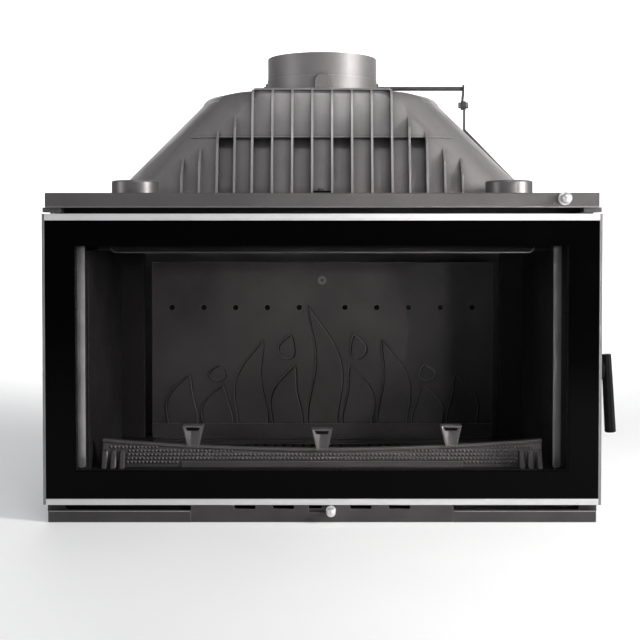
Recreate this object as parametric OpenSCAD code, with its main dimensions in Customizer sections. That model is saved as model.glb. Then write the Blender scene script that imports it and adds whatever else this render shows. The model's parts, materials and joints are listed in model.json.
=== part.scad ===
// Cast-iron fireplace insert with a wide glazed door.
// X runs to the right, Y to the back, Z up. The origin lies on the floor under the flue axis.

/* [Body] */
// Width of the top rail
rail_w = 911; // [840:1:980]
// Height of the top rail
rail_h = 24; // [20:0.5:30]
// Thickness of the top rail from front to back
rail_t = 12; // [9:0.5:16]
// Overhang of the top rail beyond the side wall
rail_overhang = 25.5; // [24:0.5:32]
// Depth from the rail's front face to the back wall's outer face
body_d = 420; // [400:1:480]
// Distance from the rail's front face back to the flue axis
flue_setback = 245; // [240:1:255]
// Thickness of the cast walls
wall_t = 8; // [6:0.5:9]
// Height of the base casting
base_h = 68; // [64:1:90]
// Height of the walls between the base casting and the top plate
shell_h = 452; // [440:1:520]
// Thickness of the base casting's floor
base_t = 8; // [6:0.5:9]
// Thickness of the hearth plate
hearth_t = 10; // [9:0.5:14]
// Thickness of the top plate
top_t = 10; // [8:0.5:13]
// Height of the two base rails
base_rail_h = 18.6; // [14:0.2:20]
// Distance from the top rail's end in to a base rail's end
base_rail_inset = 2.5; // [1:0.5:9]

/* [Wall ribs] */
// Height of a rib over the wall
rib_h = 9; // [5:0.5:9.5]
// Thickness of a rib
rib_t = 5; // [4:0.5:8]
// Distance between ribs
rib_pitch = 42; // [30:1:60]

/* [Air inlet] */
// Width of the air inlet plate
inlet_w = 434; // [420:1:460]
// Height of the air inlet plate
inlet_h = 28; // [27:0.2:30]
// Thickness of the air inlet plate
inlet_t = 6; // [5:0.5:7]
// Width of an air notch
notch_w = 35; // [24:1:37]
// Width of the middle notch, which takes the stem
stem_notch_w = 43.5; // [42:0.5:46]
// Depth of an air notch
notch_h = 6.6; // [5:0.2:8]
// Distance between notches
notch_pitch = 64; // [60:1:70]
// Diameter of the air knob
air_knob_d = 16; // [12:0.5:16]
// Height of the air knob's middle
air_knob_z = 19.8; // [19:0.1:20]
// Place of the air knob from the middle, at rest
air_knob_x = 14.6; // [12:0.1:15]
// Thickness of the air slide
slide_t = 3; // [2:0.25:3.5]

/* [Door] */
// Reach of the door beyond the end of the rail, each side
door_reach = 5.5; // [4:0.5:8]
// Gap between the door and the hinge lugs over it
door_top_gap = 2.4; // [2.4:0.1:6]
// Depth of the door's side cheeks
door_d = 29; // [27:0.5:32]
// Gap under the door
door_gap = 0.6; // [0.5:0.1:1.5]
// Thickness of a side cheek
cheek_t = 4.5; // [3:0.5:6]
// Height of the bright trim at the top
trim_top_h = 11; // [8:0.5:14]
// Height of the bright trim at the bottom
trim_bottom_h = 10; // [8:0.5:14]
// Thickness of the glass
glass_t = 4; // [3:0.5:5]
// Thickness of the flat gasket behind the glass
gasket_t = 2; // [1:0.25:2.5]
// Thickness of the door frame's flange
flange_t = 4; // [3:0.5:5]
// Width of the glass's printed border at each side
window_side = 47.5; // [44.5:0.5:56]
// Height of the window's lower edge over the door's lower edge
window_low = 54; // [50:1:60]
// Distance from the window's upper edge to the door's upper edge
window_high = 51; // [48:1:60]
// Thickness of the door rope when pressed
rope_t = 4.7; // [4:0.1:6]
// Width of the door rope
rope_w = 10; // [8:0.5:12]
// Diameter of a hinge pin
hinge_pin_d = 8; // [6:0.5:9]

/* [Latch] */
// Height of the handle's pivot over the door's lower edge
pivot_low = 222.4; // [200:0.2:260]
// Distance from the rail's front face to the handle's pivot
pivot_set = 19; // [18.5:0.1:20]
// Diameter of the handle spindle
spindle_d = 10; // [8:0.5:11]
// Length of the grip
grip_l = 131; // [110:1:150]
// Diameter of the grip at its lower end
grip_d = 18.5; // [16:0.5:20]
// Diameter of the round hub of the handle
hub_d = 34; // [28:0.5:36]
// Lean of the grip away from the door at its lower end
grip_lean = 3.5; // [2:0.5:5]
// Diameter of the striker pin
striker_d = 8; // [6:0.5:9]

/* [Firebox] */
// Height of the front frame's lower edge over the floor
frame_low = 30; // [28:0.5:34]
// Width of the front frame's upright parts
mouth_side = 34; // [30:1:44]
// Distance from the front frame's opening up to the top plate
mouth_head = 58; // [52:1:66]
// Distance from the side wall's outer face in to a side liner's inner face
liner_inset = 37; // [34:1:44]
// Thickness of the liners and of the corner posts
liner_t = 8; // [6:0.5:10]
// Distance from the liners' upper edge up to the front frame's opening
liner_drop = 14; // [10:1:44]
// Thickness of the baffle
baffle_t = 11; // [8:0.5:14]
// Width of a corner post's face
post_w = 45; // [36:1:56]
// Width of the dark groove between a corner post and the fireback
groove_w = 14; // [10:1:28]
// Distance from the liners' upper edge down to the fireback's
fireback_drop = 26; // [6:1:40]
// Thickness of the fireback
fireback_t = 8; // [6:0.5:10]
// Gap behind the fireback
back_gap = 34; // [25:1:40]
// Diameter of the air holes in the fireback
air_hole_d = 11.5; // [8:0.5:14]
// Distance between the air holes of one half
air_hole_pitch = 62.5; // [50:0.5:64]
// Height of the tallest flame of the relief
flame_h = 232; // [160:1:240]

/* [Hearth] */
// Width of the grate
grate_w = 352; // [300:1:354]
// Depth of the grate
grate_d = 220; // [180:1:224]
// Width of a slot in the grate
grate_slot_w = 9; // [7:0.5:11]
// Length of the log guard
guard_w = 750; // [700:1:760]
// Height of the log guard at its ends
guard_h = 49; // [44:1:60]
// Sag of the guard's upper edge in the middle
guard_sag = 16; // [8:1:22]
// Thickness of the log guard
guard_t = 8; // [6:0.5:10]
// Width of a guard cup at its top
cup_w = 35.6; // [30:0.2:40]
// Height of a guard cup
cup_h = 37; // [30:1:45]
// Distance between guard cups
cup_pitch = 220; // [180:1:240]

/* [Hood] */
// Height of the hood over the top plate
hood_h = 200; // [185:1:220]
// Distance from the top rail's end in to the hood's foot
hood_inset = 66.5; // [63.5:0.5:73.5]
// Angle of the hood's side slopes from level
slope_angle = 44.4; // [43:0.1:46]
// Radius of the hood's shoulders
shoulder_r = 72; // [50:1:80]
// Distance from the rail's front face to the hood's face at its foot
hood_setback = 95; // [93:1:98]
// Depth of the hood at its foot
hood_d = 295; // [290:1:300]
// Lean of the hood's face to the back over its height
face_lean = 44; // [40:1:48]
// Thickness of the hood's wall
hood_wall = 6; // [5:0.5:7]
// Height of the fins over the hood's face
fin_h = 14; // [10:0.5:16]
// Thickness of a fin
fin_t = 3.6; // [3:0.2:5]
// Distance between the eight middle fins
fin_pitch = 34.6; // [33:0.1:35]
// Distance between the outer fins
outer_fin_pitch = 30.2; // [28:0.1:31]
// Height of the ledge over the top plate
ledge_h = 115; // [100:1:125]
// Depth of a recessed bay behind the lower face
recess_d = 16; // [10:1:20]
// Step of the lower face behind the upper face
ledge_step = 4; // [2:0.5:5]

/* [Flue collar] */
// Outside diameter of the flue collar
collar_d = 200; // [190:1:201]
// Thickness of the collar's wall
collar_wall = 5; // [4:0.5:7]
// Height of the collar
collar_h = 63.6; // [55:0.2:80]
// Half width of the pad under the collar
pad_reach = 120; // [116:1:130]
// Thickness of the pad
pad_t = 4; // [3:0.5:6]

/* [Damper] */
// Height of the damper shaft over the pad
shaft_rise = 11.3; // [11:0.1:14]
// Diameter of the damper shaft
shaft_d = 8; // [6:0.5:9]
// Distance from the hood's foot in to the crank's outer face
shaft_inset = 126.5; // [123:0.5:131]
// Thickness of the flap
flap_t = 5; // [4:0.5:6]
// Level distance from the shaft down to the crank screw
crank_drop = 28.3; // [26:0.1:30]
// Lean of the crank at rest
crank_lean = 35; // [30:1:38]
// Diameter of the pull rod
rod_d = 5; // [4:0.25:6]
// Distance from the hood's foot out to the rod's straight run and its knob
rod_clear = 9.3; // [7:0.1:12]
// Height of the rod over the top plate
rod_rise = 4.5; // [4:0.1:6]
// Diameter of the damper knob
damper_knob_d = 18.6; // [16:0.2:22]

/* [Top plate] */
// Diameter of a duct cap
cap_d = 79; // [70:1:80]
// Height of a duct cap over the top plate
cap_h = 36; // [30:1:45]
// Distance from the middle to a duct cap
cap_reach = 315; // [312:1:318]
// Distance from the rail's front face to a duct cap's middle
cap_setback = 53; // [52.5:0.25:54]

/* [Hidden] */

$fn = 64;
hex_sides = 6;

// Clearances and the overrun of every cut
gap = 0.3;
run_fit = 0.05;
cut = 1;

// Places along Y
front_y = -flue_setback;
back_y = front_y + body_d;
door_back_y = front_y + door_d;
frame_y = door_back_y + rope_t + gap;
frame_t = wall_t + 2 * gap;
frame_back_y = frame_y + frame_t;
back_wall_y = back_y - wall_t;
fireback_y = back_wall_y - back_gap - fireback_t;
post_y = fireback_y - liner_t;

// Places along X, from the middle out
half_rail = rail_w / 2;
half_body = half_rail - rail_overhang;
half_door = half_rail + door_reach;
half_glass = half_door - cheek_t;
window_reach = half_glass - window_side;
base_rail_reach = half_rail - base_rail_inset;
mouth_reach = half_body - mouth_side;
liner_reach = half_body - liner_inset;
post_reach = liner_reach - post_w;
fireback_reach = post_reach - groove_w;
run = hood_h / tan(slope_angle);
hood_reach = half_rail - hood_inset;
shaft_reach = hood_reach - shaft_inset;
rod_reach = hood_reach + rod_clear;

// Places along Z
floor_z = base_h + hearth_t;
top_z = base_h + shell_h;
plate_z = top_z + top_t;
rail_z = top_z + rail_h;
lug_t = 8;
door_z = inlet_h + door_gap;
door_top_z = top_z - lug_t - door_top_gap;
glass_z = door_z + trim_bottom_h;
glass_top_z = door_top_z - trim_top_h;
window_z = door_z + window_low;
window_top_z = door_top_z - window_high;
pivot_z = door_z + pivot_low;
mouth_h = top_z - mouth_head - floor_z;
liner_h = mouth_h - liner_drop;
liner_top_z = floor_z + liner_h;
fireback_h = liner_h - fireback_drop;
baffle_top_z = liner_top_z + baffle_t;
hood_top_z = plate_z + hood_h;
pad_z = hood_top_z + pad_t;
shaft_z = pad_z + shaft_rise;
pin_z = shaft_z - crank_drop;
rod_z = plate_z + rod_rise;

// Base casting
ledge_w = 12;
base_wall_t = ledge_w + wall_t;
base_depth_share = 0.069;
base_front_t = body_d * base_depth_share;
partition_reach = grate_w / 2 + ledge_w;

// Hinges
hinge_inset = 9.5;
hinge_x = -(half_glass - hinge_inset);
hinge_y = front_y + door_d - hinge_inset - gap;
lug_w = 30;
lug_d = 26;
collar_gap = door_gap + 2;
block_h = 30;

// Door frame
frame_reach = half_body + ledge_w / 2;
glass_y = front_y + gap;
gasket_y = glass_y + glass_t;
flange_y = gasket_y + gasket_t;
ring_y = flange_y + flange_t;
trim_y = front_y - cut;

// Latch
pivot_y = front_y + pivot_set;
striker_drop = 3;
hook_t = 6;
hook_x = frame_reach + hook_t;
bracket_x = hook_x + hook_t + 2 * gap;
bracket_t = 4;
latch_throw = 15;
hook_reach = 39.5;
nose_t = 7;
hook_drop = 15.5;

// Damper
rod_y = crank_drop * tan(crank_lean);
screw_d = 6;
crank_t = 3.5;
crank_w = 15;
crank_l = 44;
slot_play = 1.3;
throat_d = collar_d - 2 * collar_wall;
lug_r = 9;
crank_x = shaft_reach - crank_t;
eye_x = shaft_reach + gap + rod_d / 2;

// A straight block between named limits
module block(xs, ys, zs) {
    translate([xs[0], ys[0], zs[0]])
        cube([xs[1] - xs[0], ys[1] - ys[0], zs[1] - zs[0]]);
}

// A block and its mirror image on the other side of the middle
module both() {
    children();
    mirror([1, 0, 0]) children();
}

// A round bar along X or along Y between two limits
module bar_x(x0, x1, y, z, d) {
    translate([x0, y, z]) rotate([0, 90, 0]) cylinder(d = d, h = x1 - x0);
}

module bar_y(x, y0, y1, z, d) {
    translate([x, y0, z]) rotate([-90, 0, 0]) cylinder(d = d, h = y1 - y0);
}

module bar_z(x, y, z0, z1, d) {
    translate([x, y, z0]) cylinder(d = d, h = z1 - z0);
}

// Stands a drawing of X and Z up and gives it a thickness along Y
module stand(y0, y1) {
    translate([0, y1, 0]) rotate([90, 0, 0]) linear_extrude(y1 - y0) children();
}

// Turns a drawing of Y and Z to face along X and gives it a thickness
module side_on(x0, x1) {
    translate([x0, 0, 0]) rotate([90, 0, 90]) linear_extrude(x1 - x0) children();
}

// A level picture frame or an upright one, cut from a block
module upright_ring(reach, z0, z1, hole_reach, hole_z0, hole_z1, y0, y1) {
    difference() {
        block([-reach, reach], [y0, y1], [z0, z1]);
        block([-hole_reach, hole_reach], [y0 - cut, y1 + cut], [hole_z0, hole_z1]);
    }
}

// Base casting: floor, walls with a ledge for the hearth plate, and the two front rails
module base_casting() {
    color("#4a4849") difference() {
        union() {
            block([-half_body, half_body], [front_y + rail_t, back_y], [0, base_t]);
            block([-base_rail_reach, base_rail_reach], [front_y, front_y + base_front_t],
                  [0, base_t]);
            both() {
                base_rail();
                base_side();
            }
            base_back();
            slide_guide();
        }
        block([-inlet_w / 2 - gap, inlet_w / 2 + gap], [front_y - cut, front_y + inlet_t],
              [-cut, base_rail_h + cut]);
    }
}

module base_rail() {
    block([inlet_w / 2 + gap, base_rail_reach], [front_y, front_y + rail_t], [0, base_rail_h]);
}

module base_side() {
    block([half_body - base_wall_t, half_body], [frame_back_y, back_y],
          [base_t, base_h]);
    block([inlet_w / 2, half_body], [frame_y, frame_back_y + ledge_w],
          [base_t, frame_low]);
    block([partition_reach, partition_reach + wall_t], [frame_back_y + ledge_w, back_y],
          [base_t, base_h]);
}

module base_back() {
    block([-half_body, half_body], [back_y - base_wall_t, back_y], [base_t, base_h]);
}

// Low rib that keeps the air slide upright
module slide_guide() {
    y0 = front_y + inlet_t + slide_t + 2 * gap;
    block([-inlet_w / 2, inlet_w / 2], [y0, front_y + rail_t + slide_t], [base_t, 2 * base_t]);
}

// Upright ribs on the outside of a wall, spaced from the middle of its length
module ribs(length, height) {
    count = floor((length / 2 - rib_pitch / 2) / rib_pitch);
    for (i = [-count:count])
        translate([i * rib_pitch - rib_t / 2, 0, 0]) cube([rib_t, rib_h, height]);
}

// Side wall, drawn on the right
module side_wall() {
    length = back_wall_y - frame_back_y;
    color("#4f4c4d") {
        block([half_body - wall_t, half_body], [frame_back_y, back_wall_y], [base_h, top_z]);
        translate([half_body, frame_back_y + length / 2, base_h])
            rotate([0, 0, -90]) ribs(length, shell_h);
    }
}

module side_wall_right() {
    side_wall();
}

module side_wall_left() {
    mirror([1, 0, 0]) side_wall();
}

module back_wall() {
    color("#4f4c4d") difference() {
        union() {
            block([-half_body, half_body], [back_wall_y, back_y], [base_h, top_z]);
            translate([0, back_y, base_h]) ribs(2 * half_body, shell_h);
        }
        bar_y(0, back_wall_y - cut, back_y + rib_h + cut, screw_z, bolt_d);
    }
}

// Front frame: the face that the door rope seals against
module front_frame() {
    color("#3b3839")
        upright_ring(half_body, frame_low, top_z, mouth_reach, floor_z, floor_z + mouth_h,
                     frame_y, frame_back_y);
}

// Top plate with its front rail, the smoke opening and the rod's hole
smoke_share = 0.84;
smoke_reach = hood_reach * smoke_share;
module top_plate() {
    color("#656062") difference() {
        union() {
            block([-half_rail, half_rail], [front_y + rail_t / 2, back_y + rib_h],
                  [top_z, plate_z]);
            rail_bar();
        }
        block([-smoke_reach, smoke_reach],
              [front_y + hood_setback + 3 * wall_t, front_y + hood_setback + hood_d - 3 * wall_t],
              [top_z - cut, plate_z + cut]);
        bar_y(rod_reach, front_y - cut, front_y + rail_t + cut, rod_z, rod_d + 2 * gap);
        bar_z(0, clamp_y, top_z - cut, plate_z + cut, bolt_d);
    }
}

// The rail has a bevel along its upper and lower front edges
bevel = 2;
module rail_bar() {
    side_on(-half_rail, half_rail)
        polygon([[front_y + rail_t, top_z], [front_y + bevel, top_z], [front_y, top_z + bevel],
                 [front_y, rail_z - bevel], [front_y + bevel, rail_z],
                 [front_y + rail_t, rail_z]]);
}

// Hearth plate with a stepped hole for the grate
module hearth_plate() {
    y0 = frame_back_y + gap;
    y1 = back_wall_y - gap;
    reach = half_body - wall_t - gap;
    color("#2f2c2d") difference() {
        block([-reach, reach], [y0, y1], [base_h, floor_z]);
        grate_block(grate_w + 2 * gap, grate_d + 2 * gap, [floor_z - grate_t, floor_z + cut]);
        grate_block(grate_w - 2 * seat_w, grate_d - 2 * seat_w, [base_h - cut, floor_z]);
    }
}

grate_t = 6;
seat_w = 10;
grate_y = (frame_back_y + post_y) / 2;

// A block centred on the grate
module grate_block(w, d, zs) {
    block([-w / 2, w / 2], [grate_y - d / 2, grate_y + d / 2], zs);
}

// Grate: a flat plate with two rows of slots
module grate() {
    pitch = 2 * grate_slot_w;
    count = floor((grate_w / 2 - seat_w - pitch) / pitch);
    row_l = grate_d / 2 - 2 * seat_w;
    color("#2b292a") difference() {
        grate_block(grate_w, grate_d, [floor_z - grate_t, floor_z]);
        for (i = [-count:count], side = [-1, 1])
            translate([i * pitch, grate_y + side * grate_d / 4, floor_z - grate_t - cut])
                slot(grate_slot_w, row_l, grate_t + 2 * cut);
    }
}

// An upright slot with round ends, long in Y
module slot(w, l, h) {
    linear_extrude(h) union() {
        square([w, l - w], center = true);
        for (side = [-1, 1]) translate([0, side * (l - w) / 2]) circle(d = w);
    }
}

// Ash pan: an open sheet tray that lifts out through the grate's hole
pan_t = 2;
pan_h = 42;
module ash_pan() {
    w = grate_w - 2 * seat_w - 4 * pan_t;
    d = grate_d - 2 * seat_w - 4 * pan_t;
    color("#55575a") difference() {
        grate_block(w, d, [base_t, base_t + pan_h]);
        grate_block(w - 2 * pan_t, d - 2 * pan_t, [base_t + pan_t, base_t + pan_h + cut]);
    }
}

// Notches along the upper edge, with round lower corners
module notches(y0, y1, low_z, high_z) {
    for (i = [-2:2])
        stand(y0, y1) translate([i * notch_pitch, 0])
            notch_outline(i == 0 ? stem_notch_w : notch_w, i == 0 ? stem_low_z : low_z, high_z);
}

corner_r = 2.5;
stem_d = 6;
stem_low_z = air_knob_z - stem_d / 2 - 2 * gap;
module notch_outline(w, z0, z1) {
    translate([-w / 2, z0 + corner_r]) square([w, z1 - z0 - corner_r]);
    translate([-w / 2 + corner_r, z0]) square([w - 2 * corner_r, z1 - z0]);
    for (side = [-1, 1])
        translate([side * (w / 2 - corner_r), z0 + corner_r]) circle(r = corner_r);
}

module air_inlet_plate() {
    color("#4a4849") difference() {
        block([-inlet_w / 2, inlet_w / 2], [front_y, front_y + inlet_t], [0, inlet_h]);
        notches(front_y - cut, front_y + inlet_t + cut, inlet_h - notch_h, inlet_h + cut);
    }
}

// Air slide: a strip behind the inlet plate, with the same notches
slide_reach = 2 * notch_pitch + notch_w;
slide_y = front_y + inlet_t + gap;
slide_top_z = inlet_h - 2 * gap;
module air_slide() {
    color("#5a5859") difference() {
        block([-slide_reach, slide_reach], [slide_y, slide_y + slide_t],
              [base_t + gap, slide_top_z]);
        for (i = [-2:2])
            if (i != 0)
                stand(slide_y - cut, slide_y + slide_t + cut) translate([i * notch_pitch, 0])
                    notch_outline(notch_w, inlet_h - notch_h, slide_top_z + cut);
        stand(slide_y - cut, slide_y + slide_t + cut) translate([-notch_w / 2, 0])
            notch_outline(notch_w, inlet_h - notch_h, slide_top_z + cut);
    }
}

// Stem with the round washer behind its knob
washer_t = 2;
knob_stand = 14;
module air_stem() {
    color("#c9c9cb") {
        bar_y(air_knob_x, front_y - knob_stand, slide_y, air_knob_z, stem_d);
        bar_y(air_knob_x, front_y - 2 * washer_t, front_y - washer_t, air_knob_z,
              air_knob_d + 2 * gap);
    }
}

module air_knob() {
    color("#d8d6d7") ball_knob(air_knob_x, front_y - knob_stand, air_knob_z, air_knob_d, stem_d);
}

// Ball knob with the hole that its stem fills, turned about its stem
module ball_knob(x, y, z, d, hole_d) {
    translate([x, y, z]) rotate([-90, 0, 0]) rotate_extrude() difference() {
        circle(d = d);
        translate([-d, -d]) square([d, 2 * d]);
        square([hole_d / 2, d]);
    }
}

// Hinge lugs stand at all four corners, so the door can hang on either side
module upper_hinge_lugs() {
    color("#656062") difference() {
        both() block([half_door - lug_w, half_door], [hinge_y - lug_d / 2, hinge_y + lug_d / 2],
                     [top_z - lug_t, top_z]);
        bar_z(hinge_x, hinge_y, top_z - lug_t - cut, top_z - lug_t / 2, hinge_pin_d);
    }
}

lower_lug_z = door_z - collar_gap + gap;
module lower_hinge_lugs() {
    color("#4a4849") difference() {
        both() stand(front_y + rail_t, front_y + base_front_t)
            polygon([[half_glass - lug_w, base_t], [base_rail_reach, base_t],
                     [half_glass, 2 * base_t], [half_glass, lower_lug_z],
                     [half_glass - lug_w, lower_lug_z]]);
        bar_z(hinge_x, hinge_y, base_t + hinge_pin_d / 2, lower_lug_z + cut, hinge_pin_d);
    }
}

// Hinge pins: the lower one has the collar that the door rests on
module hinge_pins() {
    color("#b8b8ba") {
        bar_z(hinge_x, hinge_y, base_t + hinge_pin_d / 2, glass_z + block_h - gap, hinge_pin_d);
        bar_z(hinge_x, hinge_y, lower_lug_z, glass_z - gap, 2 * hinge_pin_d - bevel);
        bar_z(hinge_x, hinge_y, glass_top_z - block_h + gap, top_z - lug_t / 2, hinge_pin_d);
    }
}

// Striker pin on the outside of the right wall
striker_y = pivot_y + hook_reach - nose_t - striker_d / 2 - gap;
striker_z = pivot_z - striker_drop;
module striker_pin() {
    color("#b8b8ba")
        bar_x(half_body, hook_x + hook_t + gap, striker_y, striker_z, striker_d);
}

// Side liner, drawn on the right; it stands on the hearth plate
module side_liner() {
    color("#353233")
        block([liner_reach, liner_reach + liner_t], [frame_back_y + gap, post_y - gap],
              [floor_z, liner_top_z]);
}

module side_liner_right() {
    side_liner();
}

module side_liner_left() {
    mirror([1, 0, 0]) side_liner();
}

// Corner post: an angle that closes the air channel beside the fireback
module corner_post() {
    color("#3b3839") {
        block([post_reach, liner_reach + liner_t], [post_y, post_y + liner_t],
              [floor_z, liner_top_z]);
        block([liner_reach, liner_reach + liner_t], [post_y, back_wall_y],
              [floor_z, liner_top_z]);
    }
}

module corner_post_right() {
    corner_post();
}

module corner_post_left() {
    mirror([1, 0, 0]) corner_post();
}

// Fireback with air holes, a foot band and a relief of flames
hole_rise_share = 0.742;
screw_rise_share = 0.898;
foot_share = 0.08;
relief_t = 1.5;
foot_t = 3;
bolt_d = 8;
screw_z = floor_z + fireback_h * screw_rise_share;
first_hole_share = 0.72;
module fireback() {
    color("#343132") difference() {
        union() {
            block([-fireback_reach, fireback_reach], [fireback_y, fireback_y + fireback_t],
                  [floor_z, floor_z + fireback_h]);
            block([-fireback_reach, fireback_reach], [fireback_y - foot_t, fireback_y],
                  [floor_z, floor_z + fireback_h * foot_share]);
            stand(fireback_y - relief_t, fireback_y)
                translate([0, floor_z + fireback_h * foot_share]) flames();
        }
        for (side = [-1, 1], i = [0:4])
            bar_y(side * air_hole_pitch * (i + first_hole_share), fireback_y - foot_t - cut,
                  fireback_y + fireback_t + cut, floor_z + fireback_h * hole_rise_share,
                  air_hole_d);
        bar_y(0, fireback_y - cut, fireback_y + fireback_t + cut, screw_z, bolt_d);
    }
}

// A crown of flames: the tallest in the middle, each second one low with a drop over it
flame_count = 4;
flame_pitch_share = 0.205;
flame_w_share = 0.84;
flame_fall_share = 0.58;
low_flame_share = 0.58;
drop_h_share = 0.24;
drop_w_share = 0.5;
drop_rise_share = 0.06;
module flames() {
    pitch = fireback_reach * flame_pitch_share;
    for (i = [-flame_count:flame_count]) {
        side = i < 0 ? -1 : 1;
        tall = flame_h * (1 - flame_fall_share * abs(i) / flame_count);
        h = i % 2 == 0 ? tall : tall * low_flame_share;
        translate([i * pitch, 0]) flame(pitch * flame_w_share, h, side, false);
        if (i % 2 != 0)
            translate([i * pitch, h + tall * drop_rise_share])
                flame(pitch * drop_w_share, tall * drop_h_share, side, true);
    }
}

// One flame about a swaying middle line, pointed at the top; a drop is closed below as well
flame_steps = 18;
flame_belly = 1.5;
flame_sway_share = 0.13;
flame_turn = 250;
module flame(w, h, side, drop) {
    steps = [for (i = [0:flame_steps]) i / flame_steps];
    function middle(t) = side * h * flame_sway_share * t * sin(flame_turn * t);
    function half(t) = w / 2 * (1 - t) * (drop ? 2 * sqrt(t) * (1 + t / 2) : 1 + flame_belly * t);
    polygon(concat([for (t = steps) if (t > 0 || !drop) [middle(t) - half(t), h * t]],
                   [for (k = [flame_steps - 1:-1:(drop ? 1 : 0)])
                       [middle(steps[k]) + half(steps[k]), h * steps[k]]],
                   drop ? [[0, 0]] : []));
}

module fireback_screw() {
    color("#8a8686") difference() {
        union() {
            bar_y(0, fireback_y - bolt_d / 2, fireback_y, screw_z, 2 * bolt_d);
            bar_y(0, fireback_y, back_y, screw_z, bolt_d);
        }
        translate([0, fireback_y - bolt_d / 2 - cut, screw_z]) rotate([-90, 0, 0])
            cylinder(d = bolt_d, h = bolt_d / 2 + cut, $fn = hex_sides);
    }
}

module fireback_spacer() {
    color("#4f4c4d") difference() {
        bar_y(0, fireback_y + fireback_t, back_wall_y, screw_z, 2 * bolt_d);
        bar_y(0, fireback_y, back_y, screw_z, bolt_d);
    }
}

// Baffle over the fire, lying on the liners and posts
baffle_share = 0.72;
module baffle() {
    reach = liner_reach + liner_t;
    y1 = back_wall_y - gap;
    y0 = y1 - (body_d - door_d) * baffle_share;
    color("#2b292a") block([-reach, reach], [y0, y1], [liner_top_z, baffle_top_z]);
}

// Air deflector: an angle behind the top of the mouth, with cut lower corners
deflector_reach = 358;
deflector_h = 40;
deflector_out = 16;
deflector_low = 17;
module air_deflector() {
    z0 = floor_z + mouth_h - deflector_low;
    y1 = frame_back_y + deflector_out;
    corner = deflector_out / 4;
    color("#4b4849") {
        stand(y1 - hook_t, y1)
            polygon([[-deflector_reach, z0 + corner], [-deflector_reach + corner, z0],
                     [deflector_reach - corner, z0], [deflector_reach, z0 + corner],
                     [deflector_reach, z0 + deflector_h], [-deflector_reach, z0 + deflector_h]]);
        block([-deflector_reach, deflector_reach], [frame_back_y, y1 - hook_t],
              [z0 + deflector_h - hook_t, z0 + deflector_h]);
    }
}

// Log guard: a low panel with a hollow upper edge, a rim, a foot bar and end feet
guard_setback = 25;
guard_y = frame_back_y + guard_setback;
rim_w = 5;
rim_t = 3;
foot_w = 38;
foot_h = 28;
bar_share = 0.64;
module log_guard() {
    color("#2f2c2d") {
        stand(guard_y, guard_y + guard_t) guard_outline(true);
        stand(guard_y - rim_t, guard_y) guard_outline(false);
        block([-guard_w * bar_share / 2, guard_w * bar_share / 2], [guard_y - rim_t, guard_y],
              [floor_z, floor_z + 2 * rim_w]);
        both() guard_foot();
    }
}

// The upper edge is a shallow arc, drawn with a point at every step
edge_steps = 30;
function edge_z(x) = guard_h - guard_sag + guard_sag * pow(2 * x / guard_w, 2);
module guard_outline(low) {
    edge = [for (i = [0:edge_steps]) let (x = guard_w * (1 / 2 - i / edge_steps))
            [x, floor_z + edge_z(x)]];
    under = [for (i = [edge_steps:-1:0]) [edge[i][0], low ? floor_z : edge[i][1] - rim_w]];
    polygon(concat(edge, under));
}

// Three wedge ribs at an end of the guard
module guard_foot() {
    rib = foot_w / 5;
    for (i = [0:2])
        side_on(guard_w / 2 - foot_w + 2 * i * rib, guard_w / 2 - foot_w + (2 * i + 1) * rib)
            polygon([[guard_y, floor_z], [guard_y - foot_h / 2, floor_z],
                     [guard_y - rim_t, floor_z + foot_h], [guard_y, floor_z + foot_h]]);
}

// Guard cups: tapered pockets that hook over the guard's upper edge
cup_taper_share = 0.53;
cup_wall = 4;
cup_d = 22;
cup_hook = 4;
cup_face_t = 9;
module guard_cups() {
    color("#6a6668") for (i = [-1:1]) {
        outer = abs(i) * cup_pitch + cup_w * cup_taper_share / 2;
        translate([i * cup_pitch, 0, floor_z + edge_z(outer) - cup_hook]) cup();
    }
}

module cup() {
    y0 = guard_y + guard_t / 2 - cup_d / 2;
    low = cup_w * cup_taper_share;
    difference() {
        stand(y0, y0 + cup_d)
            polygon([[-low / 2, 0], [low / 2, 0], [cup_w / 2, cup_h], [-cup_w / 2, cup_h]]);
        stand(y0 + cup_face_t, y0 + cup_d - cup_wall)
            polygon([[-low / 2 + cup_wall, 3 * cup_wall], [low / 2 - cup_wall, 3 * cup_wall],
                     [cup_w / 2 - cup_wall, cup_h + cut], [-cup_w / 2 + cup_wall, cup_h + cut]]);
        translate([0, y0, 0]) cup_recess(low / 2, cup_w / 2);
        block([-cup_w, cup_w], [guard_y - rim_t - gap, guard_y + guard_t + gap],
              [-cut, cup_hook]);
    }
}

// Recess in a cup's face: two facets that meet in a crease, deeper and wider upwards
recess_rim = 2.6;
recess_deep = 7;
crease_share = 0.2;
module cup_recess(low, high) {
    hull() {
        translate([0, 0, cup_hook]) wedge(low - recess_rim, cut);
        translate([0, 0, cup_h - recess_rim - gap]) wedge(high - recess_rim, recess_deep);
    }
}

module wedge(w, deep) {
    linear_extrude(gap) polygon([[-w, -cut], [w, -cut], [w, 0], [-w * crease_share, deep], [-w, 0]]);
}

// Hood. Its front view is a trapezium with round shoulders, carried on downwards by a drop.
// It is drawn on the leaning face, so it is a little taller than the hood.
hood_face_y = front_y + hood_setback;
hood_back_y = hood_face_y + hood_d;
lean_angle = atan(face_lean / hood_h);
lean_h = hood_h / cos(lean_angle);
module hood_front(foot, top, drop) {
    slope = atan(lean_h / (foot - top));
    low = foot + drop / tan(slope);
    difference() {
        polygon([[-low, -drop], [low, -drop], [top, lean_h], [-top, lean_h]]);
        both() shoulder_waste(top, slope, shoulder_r * tan(slope / 2));
    }
}

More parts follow.
